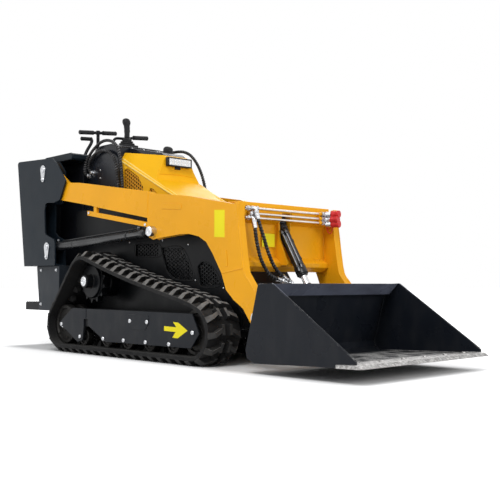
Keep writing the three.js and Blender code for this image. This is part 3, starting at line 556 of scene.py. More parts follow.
for name, route in TILT_HOSES.items():
    hose = finished(name, guarded_hose(route), None, [hose_guard], [name], smooth=60)
    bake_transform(hose)
    end, before = Vector(route[-1]), Vector(route[-2])
    elbow = [end + (end - before).normalized() * d for d in (0.026, 0.038)]
    elbow += [elbow[-1] + Vector((0.004, 0.020, -0.004)), Vector((0.712, -0.030, elbow[-1].z - 0.012))]
    fitting = joined(end_fitting(end, end - before), plain_tube(elbow, 0.0085, 16, 0.003),
                     turned([(0.014, 0), (0.014, 0.010)], elbow[-1] + Vector((-0.002, -0.014, 0.003)),
                            (0.2, 1, -0.2), 6))
    finished(f"{name}_elbow", fitting, "tilt_barrel", [plated_steel], bevel=0.0006, smooth=30)
    finished(f"{name}_ferrule", turned(
        mm((9.5, -4), (12.5, -3), (12.5, 10), (11.5, 11), (11.5, 15), (12.5, 16), (12.5, 28)),
        route[0], Vector(route[1]) - Vector(route[0]), 24), "arms", [plated_steel],
             bevel=0.0006, smooth=30)


# ---- rubber tracks ------------------------------------------------------------------------
# Each track is one moulded rubber loop with steel cords inside. It runs round the two idlers and up over the
# drive sprocket. Chevron lugs stand on its outside, and guide lugs on its inside keep the wheels in line.
BELT_THICKNESS = 0.021
LUG_HEIGHT = 0.027
LUG_COUNT = 45
GUIDE_HEIGHT = 0.030
TOP_LEAVE = radians(55)  # where the top run leaves the front idler
TOP_MEET = radians(72)  # and where it meets the sprocket


track_rubber = rubber_material("track_rubber", (0.009, 0.009, 0.0095), (0.085, 0.082, 0.078), 0.45)
# the lugs' tips and the band's rounded edges are scuffed to a paler grey, and painted far paler where they face
# up: a painted highlight, as if lit from above
tree, shader, rubber = under_coat(track_rubber)
tips = tree.nodes.new("ShaderNodeAttribute")
tips.attribute_name = "tip"
scuffed = calc(tree, "MULTIPLY", remap(tree, tips.outputs["Fac"], 0.80, 1.0),
               remap(tree, noise(tree, 40, 6), 0.30, 0.62, 0.55, 1.0))
scuff_grey_painted_lit_on_top = blend_colours(tree, upward(tree), (0.050, 0.049, 0.048), (0.25, 0.242, 0.232))
looks(tree, shader, blend_colours(tree, scuffed, rubber, scuff_grey_painted_lit_on_top))


def node_tree(name, inputs):
    """An empty geometry tree with named inputs, and its two ends."""
    tree = bpy.data.node_groups.new(name, "GeometryNodeTree")
    tree.interface.new_socket("Geometry", in_out="INPUT", socket_type="NodeSocketGeometry")
    for label, kind in inputs:
        tree.interface.new_socket(label, in_out="INPUT", socket_type=kind)
    tree.interface.new_socket("Geometry", in_out="OUTPUT", socket_type="NodeSocketGeometry")
    return tree, tree.nodes.new("NodeGroupInput"), tree.nodes.new("NodeGroupOutput")


def realized(tree, instances, start, end):
    """The end of each tree: instances made real, with their material."""
    real = tree.nodes.new("GeometryNodeRealizeInstances")
    dress = tree.nodes.new("GeometryNodeSetMaterial")
    wired(tree, (instances, real.inputs[0]), (real.outputs[0], dress.inputs["Geometry"]),
          (start.outputs["Material"], dress.inputs["Material"]), (dress.outputs[0], end.inputs[0]))


def lugs_along_belt():
    """Lugs at equal steps along a closed line in an X-Z plane, turned to follow it."""
    tree, start, end = node_tree(
        "lugs_along_belt", [("Lug", "NodeSocketObject"), ("Count", "NodeSocketInt"),
                            ("Material", "NodeSocketMaterial")])
    line, steps, place, lug, tangent = (tree.nodes.new(f"GeometryNode{kind}") for kind in (
        "MeshToCurve", "ResampleCurve", "InstanceOnPoints", "ObjectInfo", "InputTangent"))
    steps.mode = "COUNT"
    turn = tree.nodes.new("FunctionNodeAlignRotationToVector")
    turn.axis, turn.pivot_axis = "X", "Y"
    wired(tree, (start.outputs["Geometry"], line.inputs[0]), (line.outputs[0], steps.inputs["Curve"]),
          (start.outputs["Count"], steps.inputs["Count"]), (start.outputs["Lug"], lug.inputs["Object"]),
          (steps.outputs[0], place.inputs["Points"]), (lug.outputs["Geometry"], place.inputs["Instance"]),
          (tangent.outputs[0], turn.inputs["Vector"]), (turn.outputs[0], place.inputs["Rotation"]))
    realized(tree, place.outputs[0], start, end)
    return tree


def repeats_at_places():
    """Copies of one unit at the vertices of a mesh, which carry how far each is turned and grown."""
    tree, start, end = node_tree(
        "repeats_at_places", [("Unit", "NodeSocketObject"), ("Size", "NodeSocketFloat"),
                              ("Material", "NodeSocketMaterial")])
    place, unit, turn, grow = (tree.nodes.new(f"GeometryNode{kind}") for kind in (
        "InstanceOnPoints", "ObjectInfo", "InputNamedAttribute", "InputNamedAttribute"))
    for node, label in ((turn, "turn"), (grow, "grow")):
        node.data_type = "FLOAT_VECTOR"
        set_inputs(node, Name=label)
    rotation = tree.nodes.new("FunctionNodeEulerToRotation")
    scale = tree.nodes.new("ShaderNodeVectorMath")
    scale.operation = "SCALE"
    wired(tree, (start.outputs["Unit"], unit.inputs["Object"]),
          (start.outputs["Geometry"], place.inputs["Points"]),
          (unit.outputs["Geometry"], place.inputs["Instance"]),
          (turn.outputs["Attribute"], rotation.inputs[0]), (rotation.outputs[0], place.inputs["Rotation"]),
          (grow.outputs["Attribute"], scale.inputs[0]), (start.outputs["Size"], scale.inputs["Scale"]),
          (scale.outputs[0], place.inputs["Scale"]))
    realized(tree, place.outputs[0], start, end)
    return tree


LUG_TREE = lugs_along_belt()
PLACE_TREE = repeats_at_places()


def run_tree(holder, tree, **values):
    """The mesh that a tree makes on a holder object, which is then removed."""
    collection.objects.link(holder)
    modifier = holder.modifiers.new(tree.name, "NODES")
    modifier.node_group = tree
    for item in tree.interface.items_tree:
        if item.in_out == "INPUT" and item.name in values:
            modifier[item.identifier] = values[item.name]
    graph = bpy.context.evaluated_depsgraph_get()
    made = bpy.data.meshes.new_from_object(holder.evaluated_get(graph))
    bpy.data.objects.remove(holder)
    return made


EVEN = (1, 1, 1)


def placed_copies(unit, places, material, size=1.0):
    """One mesh of copies of a bmesh unit at (point, euler turn, grow) places, made by the tree."""
    spots = bpy.data.meshes.new("places")
    spots.from_pydata([tuple(p) for p, _, _ in places], [], [])
    for label, index in (("turn", 1), ("grow", 2)):
        attribute = spots.attributes.new(label, "FLOAT_VECTOR", "POINT")
        attribute.data.foreach_set("vector", [v for place in places for v in place[index]])
    unit_object = as_object("unit", unit)
    mesh = run_tree(bpy.data.objects.new("places", spots), PLACE_TREE, Unit=unit_object, Size=size,
                    Material=material)
    bpy.data.objects.remove(unit_object)
    return mesh


def set_out(name, unit, size, places, material, body="root", replaces=(), smooth=40):
    """Copies of a unit at places, as one finished piece."""
    return finished(name, placed_copies(unit, places, material, size), body, replaces=replaces,
                    smooth=smooth)


def node_middle(node):
    low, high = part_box(node)
    return (low + high) / 2


belt_low, belt_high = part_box("track_belt_left")
front_wheel, rear_wheel, drive_wheel = (node_middle(f"{n}_left")
                                        for n in ("front_idler", "rear_idler", "sprocket"))
TRACK_MID_Y = (belt_low.y + belt_high.y) / 2
BELT_WIDTH = belt_high.y - belt_low.y
IDLER_RADIUS = front_wheel.z - LUG_HEIGHT - BELT_THICKNESS
SPROCKET_RADIUS = 0.128


def belt_line(out=0.0):
    """The belt's line pushed out by a distance, as (x, z, normal x, normal z), going up at the front."""
    line = []

    def arc(middle, radius, start, stop, count):
        for i in range(count + 1):
            t = start + (stop - start) * i / count
            line.append((middle.x + radius * cos(t), middle.z + radius * sin(t), cos(t), sin(t)))

    dx, dz = drive_wheel.x - rear_wheel.x, drive_wheel.z - rear_wheel.z
    lean = math.asin((SPROCKET_RADIUS - IDLER_RADIUS) / math.hypot(dx, dz))
    rear_tangent = math.atan2(dz, dx) + pi / 2 + lean
    arc(front_wheel, IDLER_RADIUS, -pi / 2, TOP_LEAVE, 40)
    a = Vector(line[-1][:2])
    d = Vector((drive_wheel.x + SPROCKET_RADIUS * cos(TOP_MEET),
                drive_wheel.z + SPROCKET_RADIUS * sin(TOP_MEET)))
    b = a + 0.110 * Vector((-sin(TOP_LEAVE), cos(TOP_LEAVE)))
    c = d + 0.600 * Vector((sin(TOP_MEET), -cos(TOP_MEET)))
    for i in range(1, 50):
        t = i / 50
        s = 1 - t
        p = a * s ** 3 + b * 3 * s * s * t + c * 3 * s * t * t + d * t ** 3
        run = ((b - a) * s * s + (c - b) * 2 * s * t + (d - c) * t * t).normalized()
        line.append((p.x, p.y, run.y, -run.x))
    arc(drive_wheel, SPROCKET_RADIUS, TOP_MEET, rear_tangent, 26)
    arc(rear_wheel, IDLER_RADIUS, rear_tangent, 1.5 * pi, 40)
    return [(x + nx * out, z + nz * out, nx, nz) for x, z, nx, nz in line]


def walled(form, rings, closed=False):
    """Walls from each ring of vertices to the next. The ends are filled, or joined when it is closed."""
    for ring, following in zip(rings, rings[1:] + (rings[:1] if closed else [])):
        for i in range(len(ring)):
            j = (i + 1) % len(ring)
            form.faces.new((ring[i], ring[j], following[j], following[i]))
    if not closed:
        form.faces.new(rings[0])
        form.faces.new(rings[-1])
    bmesh.ops.recalc_face_normals(form, faces=form.faces)
    return form


def belt_band():
    """The plain band of the belt, with rounded outer edges and shallow ribs along the cords inside."""
    half = BELT_WIDTH / 2
    section = [(-half, 0.002), (-half, 0.014), (-half + 0.003, 0.020), (-half + 0.007, 0.021),
               (half - 0.007, 0.021), (half - 0.003, 0.020), (half, 0.014), (half, 0.002), (half - 0.002, 0),
               (0.030, 0), (0.028, 0.003), (-0.028, 0.003), (-0.030, 0), (-half + 0.002, 0)]
    form = bmesh.new()
    worn = form.verts.layers.float.new("tip")
    rings = []
    for x, z, nx, nz in belt_line():
        rings.append([form.verts.new((x + nx * out, y, z + nz * out)) for y, out in section])
        # the rounded outer edges carry the tip mark too: a pale line that is scuffing and painted highlight together
        for index in (2, 5):
            rings[-1][index][worn] = 1.0
    return walled(form, rings, closed=True)


def lug_block(foot, tip, worn):
    """A block on the belt's outside, -Z from its root: a plan outline that changes to another at its tip."""
    form = bmesh.new()
    scuff = form.verts.layers.float.new("tip")
    levels = []
    for share, depth in ((0, 0.004), (0, 0), (0.88, -LUG_HEIGHT * 0.93), (1, -LUG_HEIGHT)):
        ring = [form.verts.new((*Vector(a).lerp(Vector(b), share), depth)) for a, b in zip(foot, tip)]
        for index, vertex in enumerate(ring):
            vertex[scuff] = 1.0 if index in worn else share
        levels.append(ring)
    return walled(form, levels)


def chevron_lug():
    """One row of the tread: on each side a short bar along the belt and a slanted bar out to its heel."""
    blocks = []
    for side in (1, -1):
        along = [[(x, side * y) for x, y in outline] for outline in (
            ((-0.030, 0.015), (0.030, 0.015), (0.030, 0.037), (-0.030, 0.037)),
            ((-0.026, 0.018), (0.026, 0.018), (0.026, 0.034), (-0.026, 0.034)))]
        slanted = [[(x, side * y) for x, y in outline] for outline in (
            ((0.014, 0.030), (-0.014, 0.030), (-0.041, 0.076), (-0.043, 0.1065), (-0.010, 0.1065),
             (-0.010, 0.076)),
            ((0.010, 0.030), (-0.010, 0.030), (-0.037, 0.076), (-0.038, 0.0775), (-0.013, 0.0775),
             (-0.013, 0.076)))]
        blocks += [lug_block(*along, ()), lug_block(*slanted, (3, 4))]
    return joined(*blocks)


def guide_lug():
    """A guide lug, +Z from its root, tapered along and across."""
    form = bmesh.new()
    return walled(form, [[form.verts.new((a * along, b * across, height))
                          for a, b in ((-1, -1), (1, -1), (1, 1), (-1, 1))]
                         for height, along, across in ((-0.002, 0.019, 0.019), (0.016, 0.014, 0.015),
                                                       (GUIDE_HEIGHT, 0.008, 0.009))])


def belt_guides():
    """Places for guide lugs on the inside of the belt, left out where the sprocket drives it."""
    line = belt_line()
    places = []
    lengths = [math.hypot(q[0] - p[0], q[1] - p[1]) for p, q in zip(line, line[1:] + line[:1])]
    pitch = sum(lengths) / LUG_COUNT
    travelled, wanted = 0.0, pitch / 2
    for p, q, length in zip(line, line[1:] + line[:1], lengths):
        while wanted <= travelled + length:
            t = (wanted - travelled) / length
            x, z, nx, nz = (a + (b - a) * t for a, b in zip(p, q))
            if math.hypot(x - drive_wheel.x, z - drive_wheel.z) > SPROCKET_RADIUS + 0.012:
                places.append(((x, 0, z), (0, math.atan2(-nx, -nz), 0), EVEN))
            wanted += pitch
        travelled += length
    return places


for side, sign in SIDES:
    outer = belt_line(BELT_THICKNESS)
    path = bpy.data.meshes.new("belt_path")
    path.from_pydata([(x, 0, z) for x, z, _, _ in outer],
                     [(i, (i + 1) % len(outer)) for i in range(len(outer))], [])
    lug = as_object("lug", chevron_lug())
    lugs = run_tree(bpy.data.objects.new("belt_path", path), LUG_TREE, Lug=lug, Count=LUG_COUNT,
                    Material=track_rubber)
    bpy.data.objects.remove(lug)
    guides = placed_copies(guide_lug(), belt_guides(), track_rubber)
    tread = joined(belt_band(), lugs, guides)
    bmesh.ops.translate(tread, verts=tread.verts, vec=(0, sign * TRACK_MID_Y, 0))
    for vertex in tread.verts:
        vertex.co.z = max(vertex.co.z, 0.0)
    finished(f"tread_{side}", tread, "root", [track_rubber], [f"track_belt_{side}"], smooth=30)


# ---- idlers, rollers and track frames -----------------------------------------------------
# Cast idler wheels at both ends of each track, and five rollers along the ground run, turn on axles between the
# frame's two cut steel plates. Short stubs carry the frame on the chassis.
chassis_black = paint_material("chassis_black", (0.0040, 0.0046, 0.0058), 0.34, dust=0.05, wear=0.35,
                               gloss=0.12)
wheel_steel = metal_material("wheel_steel", (0.030, 0.029, 0.028), 0.50, 2.0, 0.8)
PLATE = 0.012
FRAME_Y = (0.278, 0.437)
STUB_FOOT_Y = 0.2403
ROLLER_X = (-0.627, -0.380, -0.177, 0.026, 0.229)
ROLLER_Z, ROLLER_RADIUS = 0.100, 0.0515
FRAME_SIDE = mm((-862, 176), (-717, 262), (410, 258), (462, 163), (402, 93), (-358, 88), (-545, 172),
                (-545, 208), (-584, 208), (-584, 172), (-601, 84), (-652, 73))


def prism(points, y0, y1):
    """A plate cut to an outline in X and Z, between y0 and y1."""
    form = bmesh.new()
    return walled(form, [[form.verts.new((x, y, z)) for x, z in points] for y in (y0, y1)])


def hex_bolt():
    """A bolt head on its washer, one unit across the washer's radius, standing up +Z."""
    washer = turned([(1.0, -0.05), (1.0, 0.10), (0.94, 0.14), (0.6, 0.14)], (0, 0, 0), (0, 0, 1), 16)
    head = turned([(0.72, 0.12), (0.74, 0.16), (0.74, 0.58), (0.62, 0.68), (0, 0.68)], (0, 0, 0), (0, 0, 1), 6)
    return joined(washer, head)


def dome_bolt():
    """A round bolt head with a hex socket, one unit across its radius."""
    return turned([(1.0, -0.05), (1.0, 0.10), (0.93, 0.32), (0.74, 0.48), (0.46, 0.55), (0.40, 0.53),
                   (0.38, 0.30), (0, 0.28)],
                  (0, 0, 0), (0, 0, 1), 12)


def on_side(spots, y, sign):
    """Places for copies that face outwards on one side of the machine, at (x, z) spots."""
    return [((x, sign * y, z), (-sign * pi / 2, 0, 0), EVEN) for x, z in spots]


def wheel(radius, hub, x, z, face):
    """A double-flanged wheel with dished faces, a bolted bearing cap and a bore for its axle."""
    rim = radius - 0.004
    outside = [(0.0206, -face), (0.040, -face), (0.043, -face + 0.006), (rim - 0.022, -face + 0.010),
               (rim - 0.016, -face), (rim, -face + 0.001), (radius, -face + 0.006)]
    groove = [(radius, -0.026), (radius - 0.004, -0.022), (hub, -0.018)]
    half = outside + groove
    profile = half + [(r, -a) for r, a in reversed(half)]
    return turned(profile, (x, TRACK_MID_Y, z), (0, 1, 0), 56, closed=True)


for side, sign in SIDES:
    for node, middle in (("front_idler", front_wheel), ("rear_idler", rear_wheel)):
        idler = wheel(IDLER_RADIUS - 0.0009, 0.078, middle.x, middle.z, 0.062)
        if sign < 0:
            bmesh.ops.scale(idler, verts=idler.verts, vec=(1, -1, 1))
            bmesh.ops.recalc_face_normals(idler, faces=idler.faces)
        finished(f"{node}_wheel_{side}", idler, "root", [wheel_steel], [f"{node}_{side}"],
                 smooth=40)

    y_in, y_out = FRAME_Y
    parts = [prism(FRAME_SIDE, sign * (y_out - PLATE), sign * y_out),
             prism(FRAME_SIDE, sign * y_in, sign * (y_in + PLATE)),
             block(-0.706, 0.289, sign * (y_in + 0.001), sign * (y_out - 0.001), 0.162, 0.247)]
    for x in (-0.450, 0.180):
        parts.append(block(x - 0.05, x + 0.05, sign * STUB_FOOT_Y, sign * (y_in + 0.001), 0.175, 0.240))
        parts.append(block(x - 0.07, x + 0.07, sign * STUB_FOOT_Y, sign * 0.250, 0.172, 0.255))
    finished(f"track_frame_plates_{side}", joined(*parts), "root", [chassis_black],
             [f"track_frame_{side}"], bevel=0.0018)

    rollers, axles = [], []
    for x in ROLLER_X:
        for end in (-1, 1):
            drum = [(0.0, 0.020), (0.034, 0.020), (0.036, 0.022), (ROLLER_RADIUS - 0.003, 0.022),
                    (ROLLER_RADIUS, 0.025), (ROLLER_RADIUS, 0.059), (ROLLER_RADIUS - 0.003, 0.062),
                    (0.037, 0.062), (0.034, 0.057), (0.024, 0.057), (0.022, 0.066), (0.0, 0.066)]
            rollers.append(turned(drum, (x, sign * TRACK_MID_Y, ROLLER_Z), (0, end, 0), 40))
        axles.append(turned([(0.014, 0.0005), (0.014, y_out - y_in - 0.0005)], (x, sign * y_in, ROLLER_Z),
                            (0, sign, 0), 20))
    for middle in (front_wheel, rear_wheel):
        axles.append(turned([(0.020, 0.0005), (0.020, y_out - y_in - 0.0005)],
                            (middle.x, sign * y_in, middle.z), (0, sign, 0), 28))
    finished(f"rollers_{side}", joined(*rollers), "root", [wheel_steel], smooth=40)
    finished(f"axles_{side}", joined(*axles), "root", [plated_steel], smooth=40)


# ---- track covers -------------------------------------------------------------------------
# Two pressed steel plates close the outside of each frame, painted dark grey and held by domed bolts. The
# front one has a bolted inspection door, and a plain yellow arrow that points the way ahead.
cover_paint = paint_material("slate_paint", (0.0115, 0.0135, 0.0175), 0.36, dust=0.08, wear=0.5, gloss=0.12)
arrow_yellow = paint_material("arrow_yellow", (0.90, 0.76, 0.02), 0.45, dust=0.15, wear=0.2)
COVER_FACE = 0.4453
COVER_BOLTS = mm((-119, 209), (37, 208), (-381, 100), (-178, 100), (26, 100), (229, 100), (420, 167),
                 (-837, 167), (-627, 101))
ARROW = mm((188, 192), (290, 190), (262, 216), (306, 214), (380, 176), (300, 134), (258, 136), (284, 166),
           (188, 168))


def dressed(node, material, body="root", bevel=0.0015, angle=32, segments=2):
    """A cut and bent sheet piece: the frame's own shape, its triangles merged and its edges rounded."""
    form = bmesh.new()
    form.from_mesh(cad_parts[node].data)
    bmesh.ops.remove_doubles(form, verts=form.verts, dist=2e-6)
    bmesh.ops.dissolve_limit(form, angle_limit=radians(0.5), verts=form.verts, edges=form.edges)
    for layer in list(form.loops.layers.uv.values()):
        form.loops.layers.uv.remove(layer)
    return finished(f"{node}_skin", form, body, [material], [node], bevel=bevel, smooth=angle,
                    segments=segments)


for side, sign in SIDES:
    dressed(f"track_cover_{side}", cover_paint, bevel=0.0025)
    dressed(f"rear_cover_{side}", cover_paint, bevel=0.0025)
    set_out(f"cover_bolts_{side}", dome_bolt(), 0.0125, on_side(COVER_BOLTS, COVER_FACE, sign), plated_steel)
    door = prism(mm((-137, 246), (54, 244), (52, 196), (22, 164), (-102, 166), (-137, 200)),
                 sign * (COVER_FACE - 0.001), sign * (COVER_FACE + 0.0025))
    finished(f"inspection_door_{side}", door, "root", [cover_paint], bevel=0.0012)
    arrow = prism(ARROW, sign * (COVER_FACE - 0.0005), sign * (COVER_FACE + 0.0006))
    finished(f"arrow_{side}", arrow, "root", [arrow_yellow], smooth=30)


# ---- drive sprockets ----------------------------------------------------------------------
# A hydraulic motor in a cast drum drives each track through a toothed ring that is bolted to the drum's flange.
# A plated plug with a hex socket closes the middle of the drum.
SPROCKET_TEETH = 13
RING_BOLT_RADIUS = 0.1065


def sprocket_ring(middle, half, sign):
    """The toothed ring: rounded teeth that reach just under the belt, on a bored ring."""
    points = []
    for i in range(SPROCKET_TEETH):
        for turn, radius in ((0.0, 0.105), (0.10, 0.1042), (0.20, 0.105), (0.29, 0.110), (0.37, 0.121),
                             (0.42, 0.1258), (0.48, 0.1270), (0.54, 0.1270), (0.60, 0.1258), (0.65, 0.121),
                             (0.73, 0.110), (0.82, 0.106)):
            a = 2 * pi * (i + turn) / SPROCKET_TEETH
            points.append((middle.x + radius * cos(a), middle.z + radius * sin(a)))
    return prism(points, sign * TRACK_MID_Y - half, sign * TRACK_MID_Y + half)


for side, sign in SIDES:
    start = (drive_wheel.x, 0, drive_wheel.z)
    reach = TRACK_MID_Y
    drum = turned([(0.088, STUB_FOOT_Y), (0.088, 0.300), (0.082, 0.306), (0.082, reach - 0.030),
                   (0.100, reach - 0.026), (0.101, reach - 0.019), (0.101, reach + 0.019),
                   (0.0995, reach + 0.0215), (0.0975, reach + 0.022), (0.0965, reach + 0.032),
                   (0.0940, reach + 0.0348), (0.0880, reach + 0.0356), (0.0430, reach + 0.0356),
                   (0.0400, reach + 0.039), (0.0390, 0.4370), (0.0365, 0.4400), (0.033, 0.4405), (0, 0.4405)],
                  start, (0, sign, 0), 64)
    finished(f"sprocket_{side}_drum", joined(drum, sprocket_ring(drive_wheel, 0.018, sign)), "root",
             [chassis_black], [f"sprocket_{side}"], bevel=0.0012, smooth=35)
    turns = [2 * pi * (k + 0.25) / SPROCKET_TEETH for k in range(SPROCKET_TEETH)]
    ring_bolts = [(drive_wheel.x + RING_BOLT_RADIUS * cos(a), drive_wheel.z + RING_BOLT_RADIUS * sin(a))
                  for a in turns]
    set_out(f"sprocket_bolts_{side}", hex_bolt(), 0.0062, on_side(ring_bolts, reach + 0.0178, sign),
            chassis_black, smooth=30)
    plug = turned(mm((28.5, 440.2), (28.5, 442.5), (25.5, 444), (16, 444), (15, 442.2), (12, 442.2), (11, 444),
                     (7.5, 444), (7, 442), (0, 441.8)), start, (0, sign, 0), 32)
    finished(f"sprocket_plug_{side}", plug, "root", [plated_steel], smooth=40)


# ---- chassis ------------------------------------------------------------------------------
# Cut steel side panels, painted black, with big windows. Behind each window a perforated sheet lets air to
# the engine. The nose, deck and belly plates close the tub, and the oil tank's box stands behind it under the
# towers.
WINDOWS = [
    mm((-357, 573), (-124, 568), (-143, 640), (-357, 640)),
    mm((-112, 613), (76, 607), (169, 474), (169, 431), (18, 439), (-56, 484)),
    mm((213, 502), (250, 528), (323, 508), (398, 409), (236, 402)),
]
PANEL_FACE, SCREEN_FACE = 0.240, 0.2317
engine_iron = metal_material("engine_iron", (0.13, 0.13, 0.135), 0.5, 2.0, 0.9)
tank_paint = paint_material("tank_paint", (0.022, 0.027, 0.034), 0.38, dust=0.15, wear=0.3, gloss=0.14)


def inside(x, z, points):
    """Whether a point is inside an outline."""
    within = False
    for (x0, z0), (x1, z1) in zip(points, points[1:] + points[:1]):
        if (z0 > z) != (z1 > z) and x < (x1 - x0) * (z - z0) / (z1 - z0) + x0:
            within = not within
    return within


def grid_hole():
    """One hexagon of a perforated sheet, one unit from middle to corner, with a hexagonal hole."""
    form = bmesh.new()
    return walled(form, [[form.verts.new((radius * cos(k * pi / 3), radius * sin(k * pi / 3), depth))
                          for k in range(6)]
                         for radius, depth in ((1.002, 0), (0.70, 0), (0.70, -0.35), (1.002, -0.35))],
                  closed=True)


def hex_sheet(outline, y, side, cell):
    """A perforated sheet: hexagons side by side wherever an outline holds them."""
    xs, zs = [p[0] for p in outline], [p[1] for p in outline]
    places = []
    column, x = 0, min(xs)
    while x < max(xs):
        z = min(zs) + (cell * math.sqrt(3) / 2 if column % 2 else 0)
        while z < max(zs):
            if inside(x, z, outline):
                places.append((x, z))
            z += cell * math.sqrt(3)
        x += cell * 1.5
        column += 1
    return on_side(places, y, side)


def grown(outline, by):
    """An outline pushed out from its own middle."""
    mx, mz = (sum(p[i] for p in outline) / len(outline) for i in (0, 1))
    return [(mx + (x - mx) * by, mz + (z - mz) * by) for x, z in outline]


for side, sign in SIDES:
    dressed(f"side_panel_{side}", chassis_black, bevel=0.0015)
    holes = [p for w in WINDOWS for p in hex_sheet(grown(w, 1.12), SCREEN_FACE, sign, 0.0120)]
    set_out(f"perforated_sheet_{side}", grid_hole(), 0.0120, holes, chassis_black,
            replaces=[f"side_screen_{side}"], smooth=30)
    rims = []
    for w in WINDOWS:
        middle = Vector([sum(p[i] for p in w) / len(w) for i in (0, 1)])
        points = [(x + (middle.x - x) * -0.03, sign * (PANEL_FACE - 0.0005), z + (middle.y - z) * -0.03)
                  for x, z in w]
        rims.append(plain_tube([*points, points[0]], 0.0028, 8, 0.02))
    finished(f"window_rims_{side}", joined(*rims), "root", [chassis_black], smooth=50)
    spots = mm((-420, 655), (-100, 655), (130, 625), (192, 430), (0, 400), (420, 390), (520, 240), (-560, 700))
    set_out(f"chassis_bolts_{side}", dome_bolt(), 0.0048, on_side(spots, PANEL_FACE, sign), plated_steel)

for node in ("belly_pan", "front_cover", "deck_plate"):
    dressed(node, chassis_black, bevel=0.0012)

low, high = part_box("engine_block")
ribs = [block(low.x, high.x, low.y + 0.02, high.y - 0.02, low.z, high.z - 0.10),
        block(low.x + 0.05, high.x - 0.05, low.y + 0.05, high.y - 0.05, high.z - 0.11, high.z)]
for k in range(7):
    x = low.x + 0.05 + k * 0.08
    ribs.append(block(x, x + 0.016, low.y, high.y, low.z + 0.03, high.z - 0.16))
for end in (-1, 1):
    for x, z, r in ((low.x + 0.12, low.z + 0.36, 0.07), (low.x + 0.34, low.z + 0.30, 0.05),
                    (low.x + 0.47, low.z + 0.41, 0.045)):
        ribs.append(turned([(0.02, 0.12), (r, 0.12), (r, 0.150), (r - 0.008, 0.155), (r, 0.160), (r, 0.168),
                            (0.02, 0.168)],
                           (x, 0, z), (0, end, 0), 32))
finished("engine", joined(*ribs), "root", [engine_iron], ["engine_block"], bevel=0.004)

dressed("rear_box", tank_paint, bevel=0.004)
TANK_SIDE = 0.362
for side, sign in SIDES:
    bolts = on_side([(x, z) for x in (-1.240, -1.050) for z in (0.500, 0.280)], TANK_SIDE, sign)
    set_out(f"tank_bolts_{side}", hex_bolt(), 0.010, bolts, plated_steel, smooth=30)


# ---- operator platform --------------------------------------------------------------------
# The operator stands on a folded steel platform behind the towers, with rows of pressed grip buttons and a
# serrated lip. It is hooked and bolted on the oil tank's back.
dressed("operator_platform", chassis_black, bevel=0.0015)
PLATFORM_TOP, PLATFORM_BACK = 0.288, -1.2705
BUTTON_ROWS, BUTTONS_A_ROW, BUTTON_PITCH = 8, 19, 0.032
SIDE_TEETH, BACK_TEETH, TOOTH_PITCH = 19, 48, 0.0130
platform_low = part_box("operator_platform")[0]

grip_button = turned([(1.0, -0.05), (0.92, 0.14), (0.66, 0.26), (0.50, 0.24), (0.44, 0.04), (0, 0.02)],
                     (0, 0, 0), (0, 0, 1), 12)
buttons = []
for row in range(BUTTON_ROWS):
    for k in range(BUTTONS_A_ROW):
        x = platform_low.x + 0.024 + row * 0.030
        y = -0.296 + (k + (0.5 if row % 2 else 0)) * BUTTON_PITCH
        if abs(y) < 0.300:
            buttons.append(((x, y, PLATFORM_TOP), (0, 0, 0), EVEN))
set_out("grip_buttons", grip_button, 0.0085, buttons, chassis_black)

teeth = []
for sign in (-1, 1):
    for k in range(SIDE_TEETH):
        teeth.append(((platform_low.x + 0.010 + k * 0.0128, sign * 0.3145, PLATFORM_TOP), (0, 0, 0),
                      (1, 0.7, 1)))
for k in range(BACK_TEETH):
    teeth.append(((platform_low.x + 0.004, -0.306 + k * TOOTH_PITCH, PLATFORM_TOP), (0, 0, 0), (0.7, 1, 1)))
tooth = turned([(1.0, -0.1), (0.9, 0.5), (0, 1.1)], (0, 0, 0), (0, 0, 1), 4)
set_out("platform_teeth", tooth, 0.0052, teeth, chassis_black, smooth=20)
hooks = [block(PLATFORM_BACK - 0.0115, PLATFORM_BACK, y - 0.03, y + 0.03, 0.240, 0.2755) for y in (-0.22, 0.22)]
hooks += [turned([(0.011, 0), (0.011, 0.008)], (PLATFORM_BACK - 0.001, y, 0.36), (-1, 0, 0), 6)
          for y in (-0.22, 0.22)]
finished("platform_brackets", joined(*hooks), "root", [chassis_black], bevel=0.001)


# ---- rear towers --------------------------------------------------------------------------
# A welded box of two cut plates stands at each side. It carries the lift arm's pivot pin at its top and the
# lift cylinder's pin lower down. Each pin has a plated keyhole-shaped keeper bolted on the outer plate.
tower_paint = paint_material("tower_paint", (0.0085, 0.0140, 0.0205), 0.36, dust=0.06, wear=0.4, gloss=0.12)
TOWER_FACE = 0.391
LIFT_PIVOT, LIFT_BASE, LIFT_EYE = (-1.1747, 1.149), (-1.1175, 0.6465), (-0.0057, 0.696)


def keeper_plate(x, z, y, side):
    """A teardrop keeper: round at the pin's head, narrower where its bolt holds it to the plate."""
    points = []
    for k in range(25):
        a = radians(-30 + 240 * k / 24)
        points.append((x + 0.030 * cos(a), z + 0.030 * sin(a)))
    for k in range(13):
        a = radians(200 + 140 * k / 12)
        points.append((x + 0.017 * cos(a), z - 0.062 + 0.017 * sin(a)))
    plate = prism(points, side * y, side * (y + 0.006))
    bolt = turned(mm((10.5, 0), (10.5, 6), (8, 8), (0, 8)), (x, side * (y + 0.006), z - 0.061), (0, side, 0), 6)
    head = turned(mm((21, 0), (21, 4), (18, 6.5), (6, 6.5), (5, 4), (0, 4)),
                  (x, side * (y + 0.006), z), (0, side, 0), 36)
    return joined(plate, bolt, head)


for side, sign in SIDES:
    dressed(f"rear_tower_{side}", tower_paint, bevel=0.002)
    keepers = joined(keeper_plate(*LIFT_PIVOT, TOWER_FACE, sign), keeper_plate(*LIFT_BASE, TOWER_FACE, sign))
    finished(f"pin_keepers_{side}", keepers, "root", [plated_steel], bevel=0.001, smooth=30)
    seams = [plain_tube([(x, sign * y, z) for x, z in mm((-1511, 1205), (-1460, 870), (-1404, 540))], 0.004, 8, 0.02)
             for y in (0.3175, 0.3815)]
    finished(f"tower_welds_{side}", joined(*seams), "root", [tower_paint], smooth=50)


